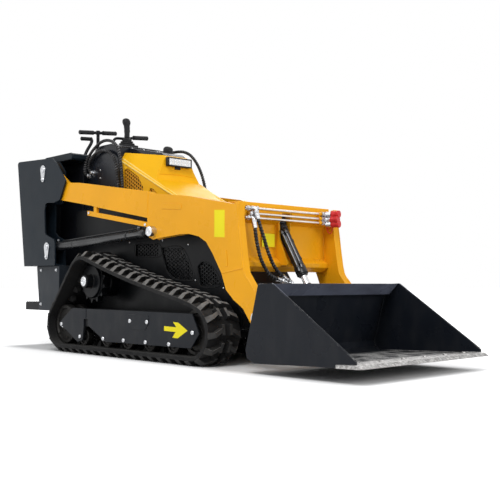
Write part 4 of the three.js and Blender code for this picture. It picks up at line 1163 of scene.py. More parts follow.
# ---- console and thigh pad ----------------------------------------------------------------
# A folded steel console fills the space between the towers: a body with the control valve inside, and a deck
# on it. The operator leans on a foam pad in black vinyl, screwed to a board on the console's back.
console_paint = paint_material("console_paint", (0.007, 0.008, 0.011), 0.38, dust=0.12, wear=0.3)
pad_vinyl = rubber_material("pad_vinyl", (0.017, 0.017, 0.018), (0.12, 0.12, 0.12), 0.35, 0.48, 260)
dressed("console_body", console_paint, bevel=0.004)
dressed("console_deck", tower_paint, bevel=0.004)
DECK_TOP = 1.250
pad_low, pad_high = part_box("thigh_pad")

# the pad's cover is blown up a little over its foam, and its front stays flat on the board
pad = block(pad_low.x + 0.016, pad_high.x, pad_low.y + 0.010, pad_high.y - 0.010, pad_low.z + 0.010,
            pad_high.z - 0.010)
pad_object = as_object("thigh_cushion", pad)
collection.objects.link(pad_object)
BOARD_X = pad_high.x


def apply_modifiers(piece):
    """Replaces a piece's mesh with what its modifiers make of it."""
    graph = bpy.context.evaluated_depsgraph_get()
    graph.update()
    mesh = bpy.data.meshes.new_from_object(piece.evaluated_get(graph))
    piece.modifiers.clear()
    piece.data = mesh


rounding = pad_object.modifiers.new("corners", "BEVEL")
rounding.width, rounding.segments = 0.012, 3
remesh = pad_object.modifiers.new("even_mesh", "REMESH")
remesh.mode, remesh.voxel_size = "VOXEL", 0.0065
apply_modifiers(pad_object)
before = [v.co.copy() for v in pad_object.data.vertices]
pin = pad_object.vertex_groups.new(name="board")
pin.add([v.index for v in pad_object.data.vertices if v.co.x > BOARD_X - 0.010], 1.0, "REPLACE")
cloth = pad_object.modifiers.new("cover", "CLOTH")
cloth.settings.quality = 5
cloth.settings.use_pressure = True
cloth.settings.uniform_pressure_force = 4
cloth.settings.vertex_group_mass = "board"
cloth.settings.effector_weights.gravity = 0
cloth.settings.tension_stiffness = 12
cloth.settings.compression_stiffness = 12
cloth.settings.bending_stiffness = 0.4
for frame_number in range(1, 21):
    bpy.context.scene.frame_set(frame_number)
apply_modifiers(pad_object)
bpy.context.scene.frame_set(1)
for vertex, start in zip(pad_object.data.vertices, before):
    moved = vertex.co - start
    vertex.co = start + moved * min(1.0, 0.011 / max(moved.length, 1e-9))
softened = pad_object.modifiers.new("soft", "SUBSURF")
softened.levels = softened.render_levels = 1
apply_modifiers(pad_object)

# quilting seams press into the cover: two upright and one along the middle
SEAM_Y, SEAM_Z = (-0.072, 0.072), (pad_low.z + pad_high.z) / 2
for vertex in pad_object.data.vertices:
    if vertex.co.x < BOARD_X - 0.030:
        near = min([abs(vertex.co.y - y) for y in SEAM_Y] + [abs(vertex.co.z - SEAM_Z)])
        vertex.co.x += 0.0065 * math.exp(-(near / 0.007) ** 2)
pad_object.data.materials.clear()
pad_object.data.materials.append(pad_vinyl)
pad_object.data.shade_smooth()
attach(pad_object, "root")
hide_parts("thigh_pad")

# piping round the pad's front edge
edge_points = []
for corner_y, corner_z, turn in ((1, -1, -90), (1, 1, 0), (-1, 1, 90), (-1, -1, 180)):
    middle_y = corner_y * 0.160
    middle_z = SEAM_Z + corner_z * 0.115
    for k in range(5):
        a = radians(turn + 22.5 * k)
        edge_points.append((BOARD_X - 0.0045, middle_y + 0.028 * cos(a), middle_z + 0.028 * sin(a)))
piping = plain_tube([*edge_points, edge_points[0]], 0.0042, 10, 0.006)
finished("pad_piping", piping, "root", [pad_vinyl], smooth=60)

# The deck carries two round gauges, a key switch, three rocker switches and a throttle knob.
gauge_white = plain_material("gauge_face", (0.75, 0.75, 0.73), 0.5)[0]
black_plastic = rubber_material("black_plastic", (0.012, 0.012, 0.013), (0.12, 0.12, 0.12), 0.3, 0.45, 500)
GAUGE_SPOTS = ((-1.245, 0.150), (-1.245, 0.222))
for k, (x, y) in enumerate(GAUGE_SPOTS):
    bezel = turned(mm((30, 0), (30, 7), (27, 9), (25.5, 5), (0, 5)), (x, y, DECK_TOP), (0, 0, 1), 36)
    finished(f"gauge_bezel_{k}", bezel, "root", [black_plastic], smooth=40)
    face = turned(mm((25, 4.8), (25, 5.6), (0, 5.6)), (x, y, DECK_TOP), (0, 0, 1), 36)
    marks = [block(x - 0.001, x + 0.001, y, y + 0.016, DECK_TOP + 0.0052, DECK_TOP + 0.0068),
             turned(mm((3.2, 5), (3.2, 8), (0, 8)), (x, y, DECK_TOP), (0, 0, 1), 16)]
    for i in range(9):
        a = radians(-30 + 30 * i)
        tick = block(-0.0007, 0.0007, 0.0185, 0.0230, 0.0052, 0.0062)
        bmesh.ops.rotate(tick, verts=tick.verts, cent=(0, 0, 0), matrix=Matrix.Rotation(a - pi / 2, 3, "Z"))
        bmesh.ops.translate(tick, verts=tick.verts, vec=(x, y, DECK_TOP))
        marks.append(tick)
    finished(f"gauge_face_{k}", face, "root", [gauge_white], smooth=40)
    finished(f"gauge_marks_{k}", joined(*marks), "root", [black_plastic], smooth=40)
switches = []
for k in range(3):
    y = 0.060 + k * 0.026
    switches.append(block(-1.262, -1.228, y - 0.010, y + 0.010, DECK_TOP, DECK_TOP + 0.004))
    switches.append(prism(mm((-1258, 1253), (-1232, 1253), (-1232, 1256), (-1245, 1258), (-1258, 1263)),
                          y - 0.007, y + 0.007))
switches.append(turned(mm((13, 0), (13, 4), (10, 6), (10, 12), (4, 13), (0, 13)),
                       (-1.190, 0.110, DECK_TOP), (0, 0, 1), 24))
switches.append(block(-1.192, -1.188, 0.101, 0.119, DECK_TOP + 0.012, DECK_TOP + 0.030))
switches.append(turned(mm((10, 0), (10, 10), (5, 14), (5, 45), (16, 50), (18, 58), (14, 68), (0, 70)),
                       (-1.190, 0.200, DECK_TOP), (0, 0, 1), 24))
finished("deck_switches", joined(*switches), "root", [black_plastic], bevel=0.0008)
deck_bolts = [((x, y, DECK_TOP), (0, 0, 0), EVEN) for x in (-1.282, -1.010)
              for y in (-0.285, -0.10, 0.10, 0.285)]
set_out("deck_bolts", hex_bolt(), 0.008, deck_bolts, plated_steel, smooth=30)


# ---- console cowl -------------------------------------------------------------------------
# The bent black sheet cover between the console and the hood. Its rear edge is rolled round, and four small
# bolts a side hold it. A lip runs down its front edge against the hood.
cowl_paint = paint_material("cowl_paint", (0.009, 0.011, 0.016), 0.24, dust=0.10, wear=0.3, gloss=0.3)
COWL_SIDE = 0.192
dressed("console_cowl", cowl_paint, bevel=0.006, angle=28, segments=3)
for side, sign in SIDES:
    bolts = on_side(mm((-812, 1130), (-812, 1080), (-660, 930), (-920, 930)), COWL_SIDE, sign)
    set_out(f"cowl_bolts_{side}", dome_bolt(), 0.0055, bolts, plated_steel)
LIP_X, RIB_PITCH = -0.6085, 0.0042
lip = [(LIP_X, y, z) for y, z in ((-0.1925, 0.885), (-0.1925, 1.20), (-0.186, 1.252), (0, 1.2595),
                                  (0.186, 1.252), (0.1925, 1.20), (0.1925, 0.885))]
edge_trim = swept(smooth_line(lip, RIB_PITCH), 8,
                  lambda travelled, turn: 0.0046 + 0.0010 * (int(travelled / RIB_PITCH) % 2))
finished("cowl_edge_trim", edge_trim, "root", [hose_guard], smooth=40)


# ---- hood ---------------------------------------------------------------------------------
# The orange hood is one welded sheet shell over the engine's top. Two pressed creases run down each shoulder, with
# beads in a paler yellow that paint the highlights along them, and a pressed brow flanks the lamp. Hexagonal
# perforated sheet backs the side grilles.
machine_orange = paint_material("orange_paint", (0.93, 0.49, 0.008), 0.40, dust=0.03, wear=0.25,
                                bare=(0.42, 0.38, 0.33), gloss=0.12)
GRILLE = mm((-568, 950), (-570, 1108), (-530, 1114), (-424, 1054), (-372, 985), (-372, 950))
VENT = mm((-330, 925), (-303, 974), (-275, 968), (-225, 930), (-225, 915), (-325, 915))
HOOD_SIDE, LAMP_X = 0.178, -0.278
dressed("hood", machine_orange, bevel=0.0035, angle=28, segments=3)
# painted highlight: the crease beads are a paler, glossier yellow than the hood, with no dust, for the light along
# the pressed edges
crease_highlight_paint = paint_material("crease_highlight_paint", (0.97, 0.66, 0.13), 0.30, dust=0.0, wear=0.2, gloss=0.4)
grille_mesh = paint_material("grille_mesh", (0.74, 0.34, 0.022), 0.5, dust=0.1, wear=0.2)
painted_shade_black = plain_material("painted_shade_black", (0.006, 0.006, 0.006), 0.9)[0]
for side, sign in SIDES:
    holes = [p for w in (GRILLE, VENT) for p in hex_sheet(grown(w, 1.08), HOOD_SIDE - 0.0045, sign, 0.0125)]
    set_out(f"hood_perforation_{side}", grid_hole(), 0.0125, holes, grille_mesh,
            replaces=[f"hood_screen_{side}"], smooth=30)
    # painted shade: a flat black sheet a little inside each side, behind the grilles, stands for the dark inside the
    # hood
    shade_sheet = prism(mm((-592, 1112), (-530, 1122), (-410, 1058), (-215, 950), (-215, 900), (-592, 900)),
                   sign * (HOOD_SIDE - 0.030), sign * (HOOD_SIDE - 0.031))
    finished(f"hood_lining_{side}", shade_sheet, "root", [painted_shade_black], smooth=30)
    crease = []
    for up, inset, front in ((0.0, 0.0, -0.012), (0.016, 0.0093, -0.030)):
        y = sign * (HOOD_SIDE - 0.0016 - inset)
        a, b = Vector((-0.598, y, 1.1645 + up)), Vector((front, y, 0.8785 + up))
        crease.append(plain_tube([a, a.lerp(b, 0.34), a.lerp(b, 0.67), b], 0.0058, 12, 0.02))
    finished(f"hood_creases_{side}", joined(*crease), "root", [crease_highlight_paint], smooth=60)

# the brow: a pressed fairing, deepest beside the lamp, with a bowed lower edge
brow = bmesh.new()
HALF_BROW = mm((86, 1164), (106, 1140), (126, 1094), (140, 1056), (110, 1058), (70, 1061), (35, 1063))
BROW = [*HALF_BROW, (0, 1.064), *((-y, z) for y, z in reversed(HALF_BROW))]
brow_back = [brow.verts.new((LAMP_X - 0.010, y * 1.04, z)) for y, z in BROW]
brow_front = [brow.verts.new((LAMP_X + 0.0075 - 0.05 * max(0, z - 1.06), y, z)) for y, z in BROW]
walled(brow, [brow_back, brow_front])
bmesh.ops.triangulate(brow, faces=[f for f in brow.faces if len(f.verts) > 4])
finished("lamp_brow", brow, "root", [machine_orange], bevel=0.003, smooth=25)

dressed("top_panel", cowl_paint, bevel=0.004, segments=3)
PANEL_SLOPE = math.atan2(0.060, 0.288)
cap_up = Vector((sin(PANEL_SLOPE), 0, cos(PANEL_SLOPE)))
cap_foot = Vector((-0.368, 0, 1.2064))
cap = turned(mm((30.2, 0.6), (30.2, 11), (28.5, 12.5), (29.8, 14), (29.8, 24), (27, 32), (20, 38.5), (11, 41.5),
                (0, 42)), cap_foot, cap_up, 40)
grips = []
for k in range(20):
    a = 2 * pi * k / 20
    across = Vector((0, 1, 0)).cross(cap_up)
    grips.append(plain_tube([cap_foot + cap_up * d + (Vector((0, 1, 0)) * cos(a) + across * sin(a)) * 0.0298
                             for d in (0.002, 0.006, 0.010)],
                            0.0016, 6, 0.004))
finished("filler_cap_turned", joined(cap, *grips), "root", [black_plastic], ["filler_cap"],
         smooth=40)
panel_bolts = []
for x in (-0.590, -0.470, -0.330):
    for y in (-0.105, 0.105):
        z = 1.256 - (x + 0.606) * (0.060 / 0.288)
        panel_bolts.append(((x, y, z), (0, PANEL_SLOPE, 0), EVEN))
set_out("panel_bolts", dome_bolt(), 0.0055, panel_bolts, plated_steel)

# The work lamp: a black cast housing with cooling fins, a clear lens over two rows of lights, on a small
# bracket.
lamp_glass, lamp_tree, lamp_shader = plain_material("lamp_glass", (0.80, 0.84, 0.88), 0.12)
set_inputs(lamp_shader, Coat_Weight=0.6)
looks(lamp_tree, lamp_shader, roughness=remap(lamp_tree, noise(lamp_tree, 30, 4), 0.4, 0.7, 0.08, 0.22),
      normal=bump(lamp_tree, noise(lamp_tree, 60, 2), 0.1, 0.001))
FACE_X = LAMP_X + 0.034
housing = [block(LAMP_X + 0.008, FACE_X - 0.004, -0.089, 0.089, 1.111, 1.163),
           block(FACE_X - 0.006, FACE_X, -0.090, 0.090, 1.1565, 1.164),
           block(FACE_X - 0.006, FACE_X, -0.090, 0.090, 1.110, 1.1175),
           block(FACE_X - 0.006, FACE_X, -0.090, -0.081, 1.110, 1.164),
           block(FACE_X - 0.006, FACE_X, 0.081, 0.090, 1.110, 1.164),
           block(LAMP_X + 0.0003, LAMP_X + 0.012, -0.020, 0.020, 1.096, 1.112)]
for k in range(16):
    y = -0.080 + k * 0.01067
    housing.append(block(LAMP_X + 0.0005, LAMP_X + 0.009, y - 0.0012, y + 0.0012, 1.113, 1.161))
finished("lamp_housing", joined(*housing), "root", [black_plastic], ["headlight"], bevel=0.0014)
lens = block(FACE_X - 0.0055, FACE_X - 0.0012, -0.0812, 0.0812, 1.1172, 1.1568)
finished("lamp_lens", lens, "root", [lamp_glass], bevel=0.0008)
cups = [((FACE_X - 0.0013, -0.066 + 0.0264 * k, z), (0, pi / 2, 0), EVEN) for k in range(6)
        for z in (1.1275, 1.1465)]
cup = turned([(1.0, -0.05), (1.0, 0.10), (0.88, 0.12), (0.30, 0.02), (0.26, 0.10), (0, 0.12)], (0, 0, 0),
             (0, 0, 1), 16)
set_out("lamp_reflectors", cup, 0.0085, cups, plated_steel)


# ---- controls -----------------------------------------------------------------------------
# Moulded levers on steel stalks: the joystick on the cowl with its rubber bellows, the travel T-bar on the
# deck with a bellows and two rubber grips, a short rest bar beside it, and a bent steel grab bar with one
# grip.
grip_rubber = rubber_material("grip_rubber", (0.015, 0.015, 0.016), (0.11, 0.11, 0.11), 0.35, 0.55, 600)
stalk_paint = paint_material("stalk_paint", (0.010, 0.011, 0.013), 0.35, dust=0.1, wear=0.5)


def bellows(foot, low_radius, high_radius, height, folds):
    """A rubber boot: folds that narrow upwards, on a square-edged flange."""
    profile = [(low_radius + 0.004, 0.0), (low_radius + 0.004, 0.004)]
    for k in range(folds):
        t = k / folds
        outer = low_radius + (high_radius - low_radius) * t
        rise = 0.004 + (height - 0.004) * t
        fold = (height - 0.004) / folds
        profile += [(outer * 0.78, rise + fold * 0.06), (outer, rise + fold * 0.30),
                    (outer, rise + fold * 0.66), (outer * 0.76, rise + fold * 0.95)]
    profile += [(high_radius, height), (0, height)]
    return turned(profile, foot, (0, 0, 1), 40)


def ribbed_grip(start, end, radius, ribs):
    """A pushed-on rubber grip: a flange, finger ribs along it and a rounded end."""
    length = (Vector(end) - Vector(start)).length
    profile = [(radius * 0.8, 0), (radius, 0.001), (radius, 0.004), (radius * 0.90, 0.005)]
    step = (length - 0.016) / ribs
    for k in range(ribs):
        at = 0.006 + k * step
        profile += [(radius * 0.88, at), (radius * 0.97, at + step * 0.30), (radius * 0.97, at + step * 0.65),
                    (radius * 0.88, at + step * 0.9)]
    profile += [(radius, length - 0.009), (radius * 0.96, length - 0.004), (radius * 0.7, length - 0.001),
                (0, length)]
    return turned(profile, start, Vector(end) - Vector(start), 28)


STICK = Vector((-0.752, -0.034, 1.286))
stick_parts = [block(STICK.x - 0.052, STICK.x + 0.052, STICK.y - 0.052, STICK.y + 0.052, STICK.z + 0.0003,
                     STICK.z + 0.010),
               bellows(STICK + Vector((0, 0, 0.010)), 0.050, 0.022, 0.044, 3)]
finished("joystick_boot", joined(*stick_parts), "root", [grip_rubber], smooth=45)
GRIP_PROFILE = ((0.0130, 0.0), (0.0175, 0.005), (0.0185, 0.018), (0.0175, 0.034), (0.0190, 0.050),
                (0.0178, 0.066), (0.0185, 0.078), (0.0180, 0.086), (0.0205, 0.094), (0.0238, 0.104),
                (0.0242, 0.114), (0.0225, 0.124), (0.0170, 0.131), (0.0085, 0.1350), (0, 0.1354))
grip = turned(GRIP_PROFILE, STICK + Vector((0, 0, 0.052)), (-0.03, -0.03, 1), 32)
for vertex in grip.verts:
    rise = vertex.co.z - STICK.z - 0.052
    vertex.co.x += 0.006 * sin(rise * 24)
    vertex.co.y = STICK.y + (vertex.co.y - STICK.y) * (1 - 0.12 * cos(rise * 30))
    vertex.co.z = min(vertex.co.z, 1.474)
stick_head = STICK + Vector((0.004, -0.003, 0.170))
buttons = [turned(mm((5.2, 0), (5.2, 4), (4, 5.5), (0, 5.8)), stick_head + Vector((-0.0195, dy, -0.006)),
                  (-1, 0, 0.25), 16) for dy in (-0.007, 0.007)]
trigger = turned(mm((6, 0), (6, 6), (3, 9), (0, 9)), STICK + Vector((0.014, -0.004, 0.145)), (1, 0, -0.1), 16)
finished("joystick_grip", joined(grip, *buttons, trigger), "root", [black_plastic],
         ["joystick"], smooth=50)
collar = turned(mm((10, 0), (10, 12), (8, 14), (0, 14)), STICK + Vector((0, 0, 0.050)), (0, 0, 1), 24)
boot_screws = [((STICK.x + a * 0.038, STICK.y + b * 0.038, STICK.z + 0.010), (0, 0, 0), EVEN) for a in (-1, 1)
               for b in (-1, 1)]
finished("joystick_collar", joined(collar, placed_copies(dome_bolt(), boot_screws, plated_steel, 0.0045)),
         "root",
         [plated_steel], smooth=40)

HANDLE = Vector((-1.085, -0.036, 1.424))
cross = Vector((0, 1, 0.09)).normalized()
handle_bar = joined(turned([(0.010, 0), (0.010, 0.200)], HANDLE - cross * 0.100, cross, 28),
                    turned(mm((13, -16), (13, 10), (11, 14), (11, 114)), HANDLE + Vector((0, 0, -0.002)),
                           (0, 0, -1), 28))
finished("travel_handle_bar", handle_bar, "root", [stalk_paint], ["travel_handle"],
         bevel=0.0006)
grips = joined(ribbed_grip(HANDLE + cross * 0.038, HANDLE + cross * 0.1465, 0.0148, 9),
               ribbed_grip(HANDLE - cross * 0.038, HANDLE - cross * 0.1465, 0.0148, 9))
finished("travel_handle_grips", grips, "root", [grip_rubber], smooth=50)
finished("travel_handle_boot", bellows((HANDLE.x, HANDLE.y, DECK_TOP + 0.0003), 0.033, 0.014, 0.062, 5), "root",
         [grip_rubber],
         smooth=45)

rest_stalk = plain_tube(mm((-1112, -78, 1378.5), (-1107, -70, 1374), (-1102, -80, 1348), (-1100, -110, 1300),
                           (-1100, -130, 1258)), 0.0105, 20)
rest_foot = turned(mm((18, 0), (18, 10), (12.5, 16), (0, 16)), (-1.100, -0.130, DECK_TOP + 0.0003), (0, 0, 1), 28)
finished("rest_bar_stalk", joined(rest_stalk, rest_foot), "root", [stalk_paint], ["rest_bar"],
         smooth=50)
finished("rest_bar_grip", ribbed_grip((-1.115, -0.066, 1.382), (-1.115, -0.150, 1.376), 0.0135, 7), "root",
         [grip_rubber], smooth=50)

grab_rod = plain_tube(mm((-800, -105, 1290), (-800, -105, 1312), (-800, -98, 1333), (-800, -78, 1345),
                         (-800, -10, 1351), (-800, 62, 1365.5)), 0.0088, 20)
grab_foot = turned(mm((14, 0), (14, 10), (10.5, 14), (0, 14)), (-0.800, -0.105, 1.2863), (0, 0, 1), 28)
finished("grab_bar_rod", joined(grab_rod, grab_foot), "root", [stalk_paint], ["grab_bar"],
         smooth=50)
finished("grab_bar_grip", ribbed_grip((-0.800, 0.050, 1.3640), (-0.800, 0.165, 1.3738), 0.0148, 9), "root",
         [grip_rubber], smooth=50)


# ---- lift arms ----------------------------------------------------------------------------
# Two welded box-section arms in orange reach from the towers to the bucket's hinge. The slender rear part
# deepens ahead of the lift cylinder's eye. A stowed lock bar hangs under each on a post.
ARM_FACE, ARM_INNER = 0.372, 0.327
LOCK_BAR_PINS = mm((-655, 838), (-82, 737))
arm_orange = paint_material("arm_orange", (0.88, 0.40, 0.008), 0.30, dust=0.04, wear=0.3,
                            bare=(0.42, 0.38, 0.33), gloss=0.18)
plate_yellow = paint_material("plate_yellow", (0.92, 0.80, 0.02), 0.42, dust=0.06, wear=0.2)


def weld_bead(points, radius=0.0035):
    """A laid weld: a half-sunk bead with close ripples along it."""
    step = radius * 0.45
    return swept(smooth_line(points, step), 8,
                 lambda travelled, turn: radius * (0.86 + 0.14 * abs(sin(travelled / radius * 1.1))))


def pressed_slot(x0, z0, x1, z1, height, y, sign):
    """A raised bar with rounded ends, pressed out of the arm's side."""
    run = (Vector((x1, z1)) - Vector((x0, z0))).normalized()
    across = Vector((-run.y, run.x)) * height / 2
    points = []
    for (x, z), start in (((x1, z1), -90), ((x0, z0), 90)):
        for k in range(9):
            a = radians(start + 180 * k / 8)
            points.append((x + run.x * cos(a) * height / 2 + across.x * sin(a),
                           z + run.y * cos(a) * height / 2 + across.y * sin(a)))
    return prism(points, sign * (y - 0.002), sign * (y + 0.0026))


for side, sign in SIDES:
    dressed(f"lift_arm_{side}", arm_orange, "arms", bevel=0.0032, segments=3)
    dressed(f"arm_lock_{side}", arm_orange, "arms", bevel=0.0022)
    slots = [pressed_slot(0.078, 0.829, 0.222, 0.816, 0.030, ARM_FACE, sign),
             pressed_slot(0.584, 0.568, 0.590, 0.506, 0.020, ARM_FACE, sign)]
    finished(f"arm_pressings_{side}", joined(*slots), "arms", [arm_orange], bevel=0.0014,
             smooth=40)
    y = sign * (ARM_FACE - 0.0006)
    beads = [weld_bead([(0.556, y, 0.463), (0.600, y, 0.470), (0.650, y, 0.478), (0.7125, y, 0.486)]),
             weld_bead([(-0.060, y, 0.915), (-0.062, y, 0.850), (-0.064, y, 0.780)])]
    inner = sign * (ARM_INNER + 0.0005)
    beads += [weld_bead([(0.604, inner, 0.552), (0.604, inner, 0.620), (0.604, inner, 0.714)]),
              weld_bead([(0.556, inner, 0.500), (0.600, inner, 0.500), (0.636, inner, 0.500)])]
    finished(f"arm_welds_{side}", joined(*beads), "arms", [arm_orange], smooth=60)
    flange = [(x, sign * (ARM_FACE - 0.002), z)
              for x, z in mm((679, 800), (675, 742), (687, 652), (700, 560), (719, 468), (758, 419),
                          (812, 347), (843, 284))]
    edge = swept(smooth_line([(x - 0.004, y, z) for x, y, z in flange], 0.012), 8, lambda travelled,
                 turn: 0.0042)
    finished(f"arm_edge_{side}", edge, "arms", [arm_orange], smooth=60)

    # the eye's boss is plated, with a keeper bolt, and the lock bar hangs on a pin with a ring clip
    boss = [turned(mm((28.2, -3), (28.2, 30), (27, 34.5), (23.5, 36), (12, 36.6), (10.5, 35.4), (9, 35),
                      (0, 35)), (LIFT_EYE[0], sign * ARM_FACE, LIFT_EYE[1]), (0, sign, 0), 48)]
    finished(f"lift_eye_boss_{side}", joined(*boss), "arms", [plated_steel], bevel=0.0008)
    pins = [turned(mm((8.5, -2), (8.5, 4), (6.5, 6), (0, 6)), (x, sign * ARM_FACE, z), (0, sign, 0), 20)
            for x, z in LOCK_BAR_PINS]
    finished(f"lock_pins_{side}", joined(*pins), "arms", [plated_steel], bevel=0.0005)
    hinge_bush = turned(mm((18.4, 0), (30, 0), (30, 7), (28, 9), (18.4, 9)),
                        (0.800, sign * (ARM_FACE - 0.001), 0.250), (0, sign, 0), 40, closed=True)
    finished(f"hinge_bush_{side}", hinge_bush, "arms", [plated_steel], smooth=35)
    pivot_bush = [turned(mm((22.6, 0), (38, 0), (38, 5), (36, 6), (22.6, 6)),
                         (LIFT_PIVOT[0], sign * y0, LIFT_PIVOT[1]), (0, sign * d, 0), 40, closed=True)
                  for y0, d in ((ARM_FACE, 1), (ARM_INNER, -1))]
    finished(f"pivot_bush_{side}", joined(*pivot_bush), "arms", [plated_steel], smooth=35)

# A blank yellow plate is riveted on the outside of each arm, near the front.
for side, sign in SIDES:
    label = prism(mm((500, 781), (577, 776), (577, 640), (500, 645)), sign * (ARM_FACE - 0.0005),
                  sign * (ARM_FACE + 0.0007))
    finished(f"blank_plate_{side}", label, "arms", [plate_yellow], smooth=30)


# ---- crossmember, pipes and couplers ------------------------------------------------------
# A bent plate ties the arms together, with two tall cheeks for the tilt cylinder's pin and a gusset at each
# end. Three steel pipes cross it from the hose elbows at the right to the quick couplers, capped in red, at
# the left.
CROSS_FACE = 0.6038
TILT_BASE, TILT_EYE = (0.5845, 0.738), (0.809, 0.370)
dressed("crossmember", arm_orange, "arms", bevel=0.0024)
frame_welds = [weld_bead([(x, sign * y, z) for z in (0.551, 0.62, top)], 0.003)
               for x, ys, top in ((0.6045, (0.0345, 0.0455), 0.714), (0.5945, (0.263, 0.271), 0.708))
               for sign in (-1, 1) for y in ys]
finished("crossmember_welds", joined(*frame_welds), "arms", [arm_orange], smooth=60)
pin_heads = [turned(mm((21, 0), (21, 5), (18, 7), (0, 7)), (TILT_BASE[0], end * 0.045, TILT_BASE[1]),
                    (0, end, 0), 32) for end in (-1, 1)]
finished("tilt_pin_heads", joined(*pin_heads), "arms", [plated_steel], smooth=35)
front_label = block(CROSS_FACE + 0.0078, CROSS_FACE + 0.0086, -0.150, -0.058, 0.600, 0.668)
finished("blank_front_plate", front_label, "arms", [plate_yellow], smooth=30)

pipe_steel = metal_material("pipe_steel", (0.74, 0.70, 0.66), 0.24, 0.8, 0.2, brushed=(4, 0.15, 4))
PIPE_X, PIPE_END = 0.662, 0.262
PIPE_Z = (0.786, 0.760, 0.738)
pipes = [turned([(0.0056, -PIPE_END), (0.0056, PIPE_END)], (PIPE_X, 0, z), (0, 1, 0), 24) for z in PIPE_Z]
finished("cross_pipe_runs", joined(*pipes), "arms", [pipe_steel], ["cross_pipes"], smooth=40)
clips = []
for y in (-0.234, 0.234):
    clips.append(block(0.6455, 0.652, y - 0.009, y + 0.009, 0.728, 0.798))
    for z in PIPE_Z:
        clips.append(turned(mm((9.5, -8), (10.5, -7), (10.5, 7), (9.5, 8)), (PIPE_X, y, z), (0, 1, 0), 24))
    clips.append(turned(mm((7, 0), (7, 6), (0, 6)), (0.6515, y, 0.7725), (1, 0, 0), 6))
finished("pipe_clips", joined(*clips), "arms", [arm_orange], bevel=0.0008)
elbows = []
for z, y, drop in ((0.786, -0.258, 0.761), (0.738, -0.274, 0.717)):
    line = [(PIPE_X, y + 0.020, z), (PIPE_X, y + 0.004, z), (PIPE_X + 0.006, y - 0.003, z),
            (PIPE_X + 0.017, y - 0.005, z - 0.002), (PIPE_X + 0.022, y - 0.003, z - 0.010),
            (PIPE_X + 0.022, y + 0.0005, drop)]
    elbows.append(plain_tube(line, 0.0092, 20, 0.003))
    elbows.append(turned(mm((12.5, 0), (13.5, 1), (13.5, 13), (12.5, 14)),
                         (PIPE_X, y + 0.030, z), (0, -1, 0), 6))
    elbows.append(turned(mm((12.5, 0), (13.5, 1), (13.5, 10), (12.5, 11)),
                         (PIPE_X + 0.022, y - 0.001, z - 0.012), (0, 0.06, -1), 6))
    elbows.append(turned(mm((12.5, 0), (13.5, 1), (13.5, 14), (9, 15), (9, 26), (12.8, 27), (12.8, 40),
                            (7.5, 41), (7.5, 52), (0, 52)), (PIPE_X, -PIPE_END, z), (0, -1, 0), 6))
elbows.append(turned(mm((12.5, 0), (13.5, 1), (13.5, 13), (10, 16), (10, 24), (0, 25)),
                     (PIPE_X, -PIPE_END, PIPE_Z[1]), (0, -1, 0), 6))
for z in PIPE_Z:
    elbows.append(turned(mm((11.8, 0), (12.8, 1), (12.8, 14), (11.8, 15)), (PIPE_X, 0.246, z), (0, 1, 0), 6))
finished("pipe_elbows", joined(*elbows), "arms", [plated_steel], bevel=0.0006, smooth=32)

red_plastic = rubber_material("red_cap", (0.62, 0.018, 0.020), (0.35, 0.22, 0.20), 0.22, 0.38, 350)
bodies, caps, straps = [block(PIPE_X - 0.011, PIPE_X + 0.011, 0.2623, 0.284, 0.727, 0.798)], [], []
for z, y in ((0.785, 0.300), (0.756, 0.292), (0.732, 0.300)):
    start, end = Vector((PIPE_X, 0.282, z)), Vector((PIPE_X + 0.034, y, z))
    run = (end - start).normalized()
    bodies.append(turned(mm((10, -2), (14.5, 1), (14.5, 12), (12.5, 13), (12.5, 16), (14.5, 17), (14.5, 27),
                            (12, 30), (12, 36)), start, run, 24))
    tip = Vector((PIPE_X + 0.074, y + 0.010, z))
    foot = Vector((PIPE_X + 0.030, y - 0.002, z))
    lean = (tip - foot).normalized()
    length = (tip - foot).length
    caps.append(turned([(0.016, 0), (0.0185, 0.001), (0.0195, 0.004), (0.0195, 0.010), (0.0180, 0.012),
                        (0.0180, length - 0.012), (0.0205, length - 0.010), (0.0205, length - 0.003),
                        (0.0185, length), (0.006, length), (0, length - 0.001)],
                       foot, lean, 32))
    loop = [foot + lean * 0.006 + Vector((0, 0, -0.018)), foot + Vector((-0.004, 0.004, -0.036)),
            foot + Vector((-0.018, 0.006, -0.050)),
            foot + Vector((-0.030, 0.002, -0.040)), start + Vector((0.004, 0.0, -0.014))]
    straps.append(plain_tube(loop, 0.0021, 10, 0.003))
finished("coupler_bodies", joined(*bodies), "arms", [plated_steel], bevel=0.0007, smooth=32)
finished("dust_caps", joined(*caps), "arms", [red_plastic], ["quick_couplers"], smooth=40)
finished("cap_straps", joined(*straps), "arms", [red_plastic], smooth=60)


# ---- lift cylinders -----------------------------------------------------------------------
# Honed steel barrels, painted black, with a welded base eye, two port bosses and a screwed gland. Each drives a
# chromed rod with a forged eye, on a pin through the arm.
chrome_rod = metal_material("chrome_rod", (0.80, 0.81, 0.83), 0.07, 0.4, 0.12, brushed=(2, 2, 60))
cylinder_paint = paint_material("cylinder_paint", (0.009, 0.010, 0.012), 0.26, dust=0.10, wear=0.4, gloss=0.3)
feed_steel = metal_material("feed_steel", (0.17, 0.175, 0.185), 0.30, 1.0, 0.4)
BARREL_RADIUS, ROD_RADIUS, BARREL_END = 0.026, 0.014, 1.010
CYLINDER_Y = 0.3495


def in_line(start, end, along, y):
    """A point some way from a pin towards the rod's eye, in the cylinder's own plane."""
    run = (Vector(end) - Vector(start)).normalized()
    return (start[0] + run.x * along, y, start[1] + run.y * along)


def cylinder_run(start, end):
    run = (Vector(end) - Vector(start)).normalized()
    return Vector((run.x, 0, run.y))


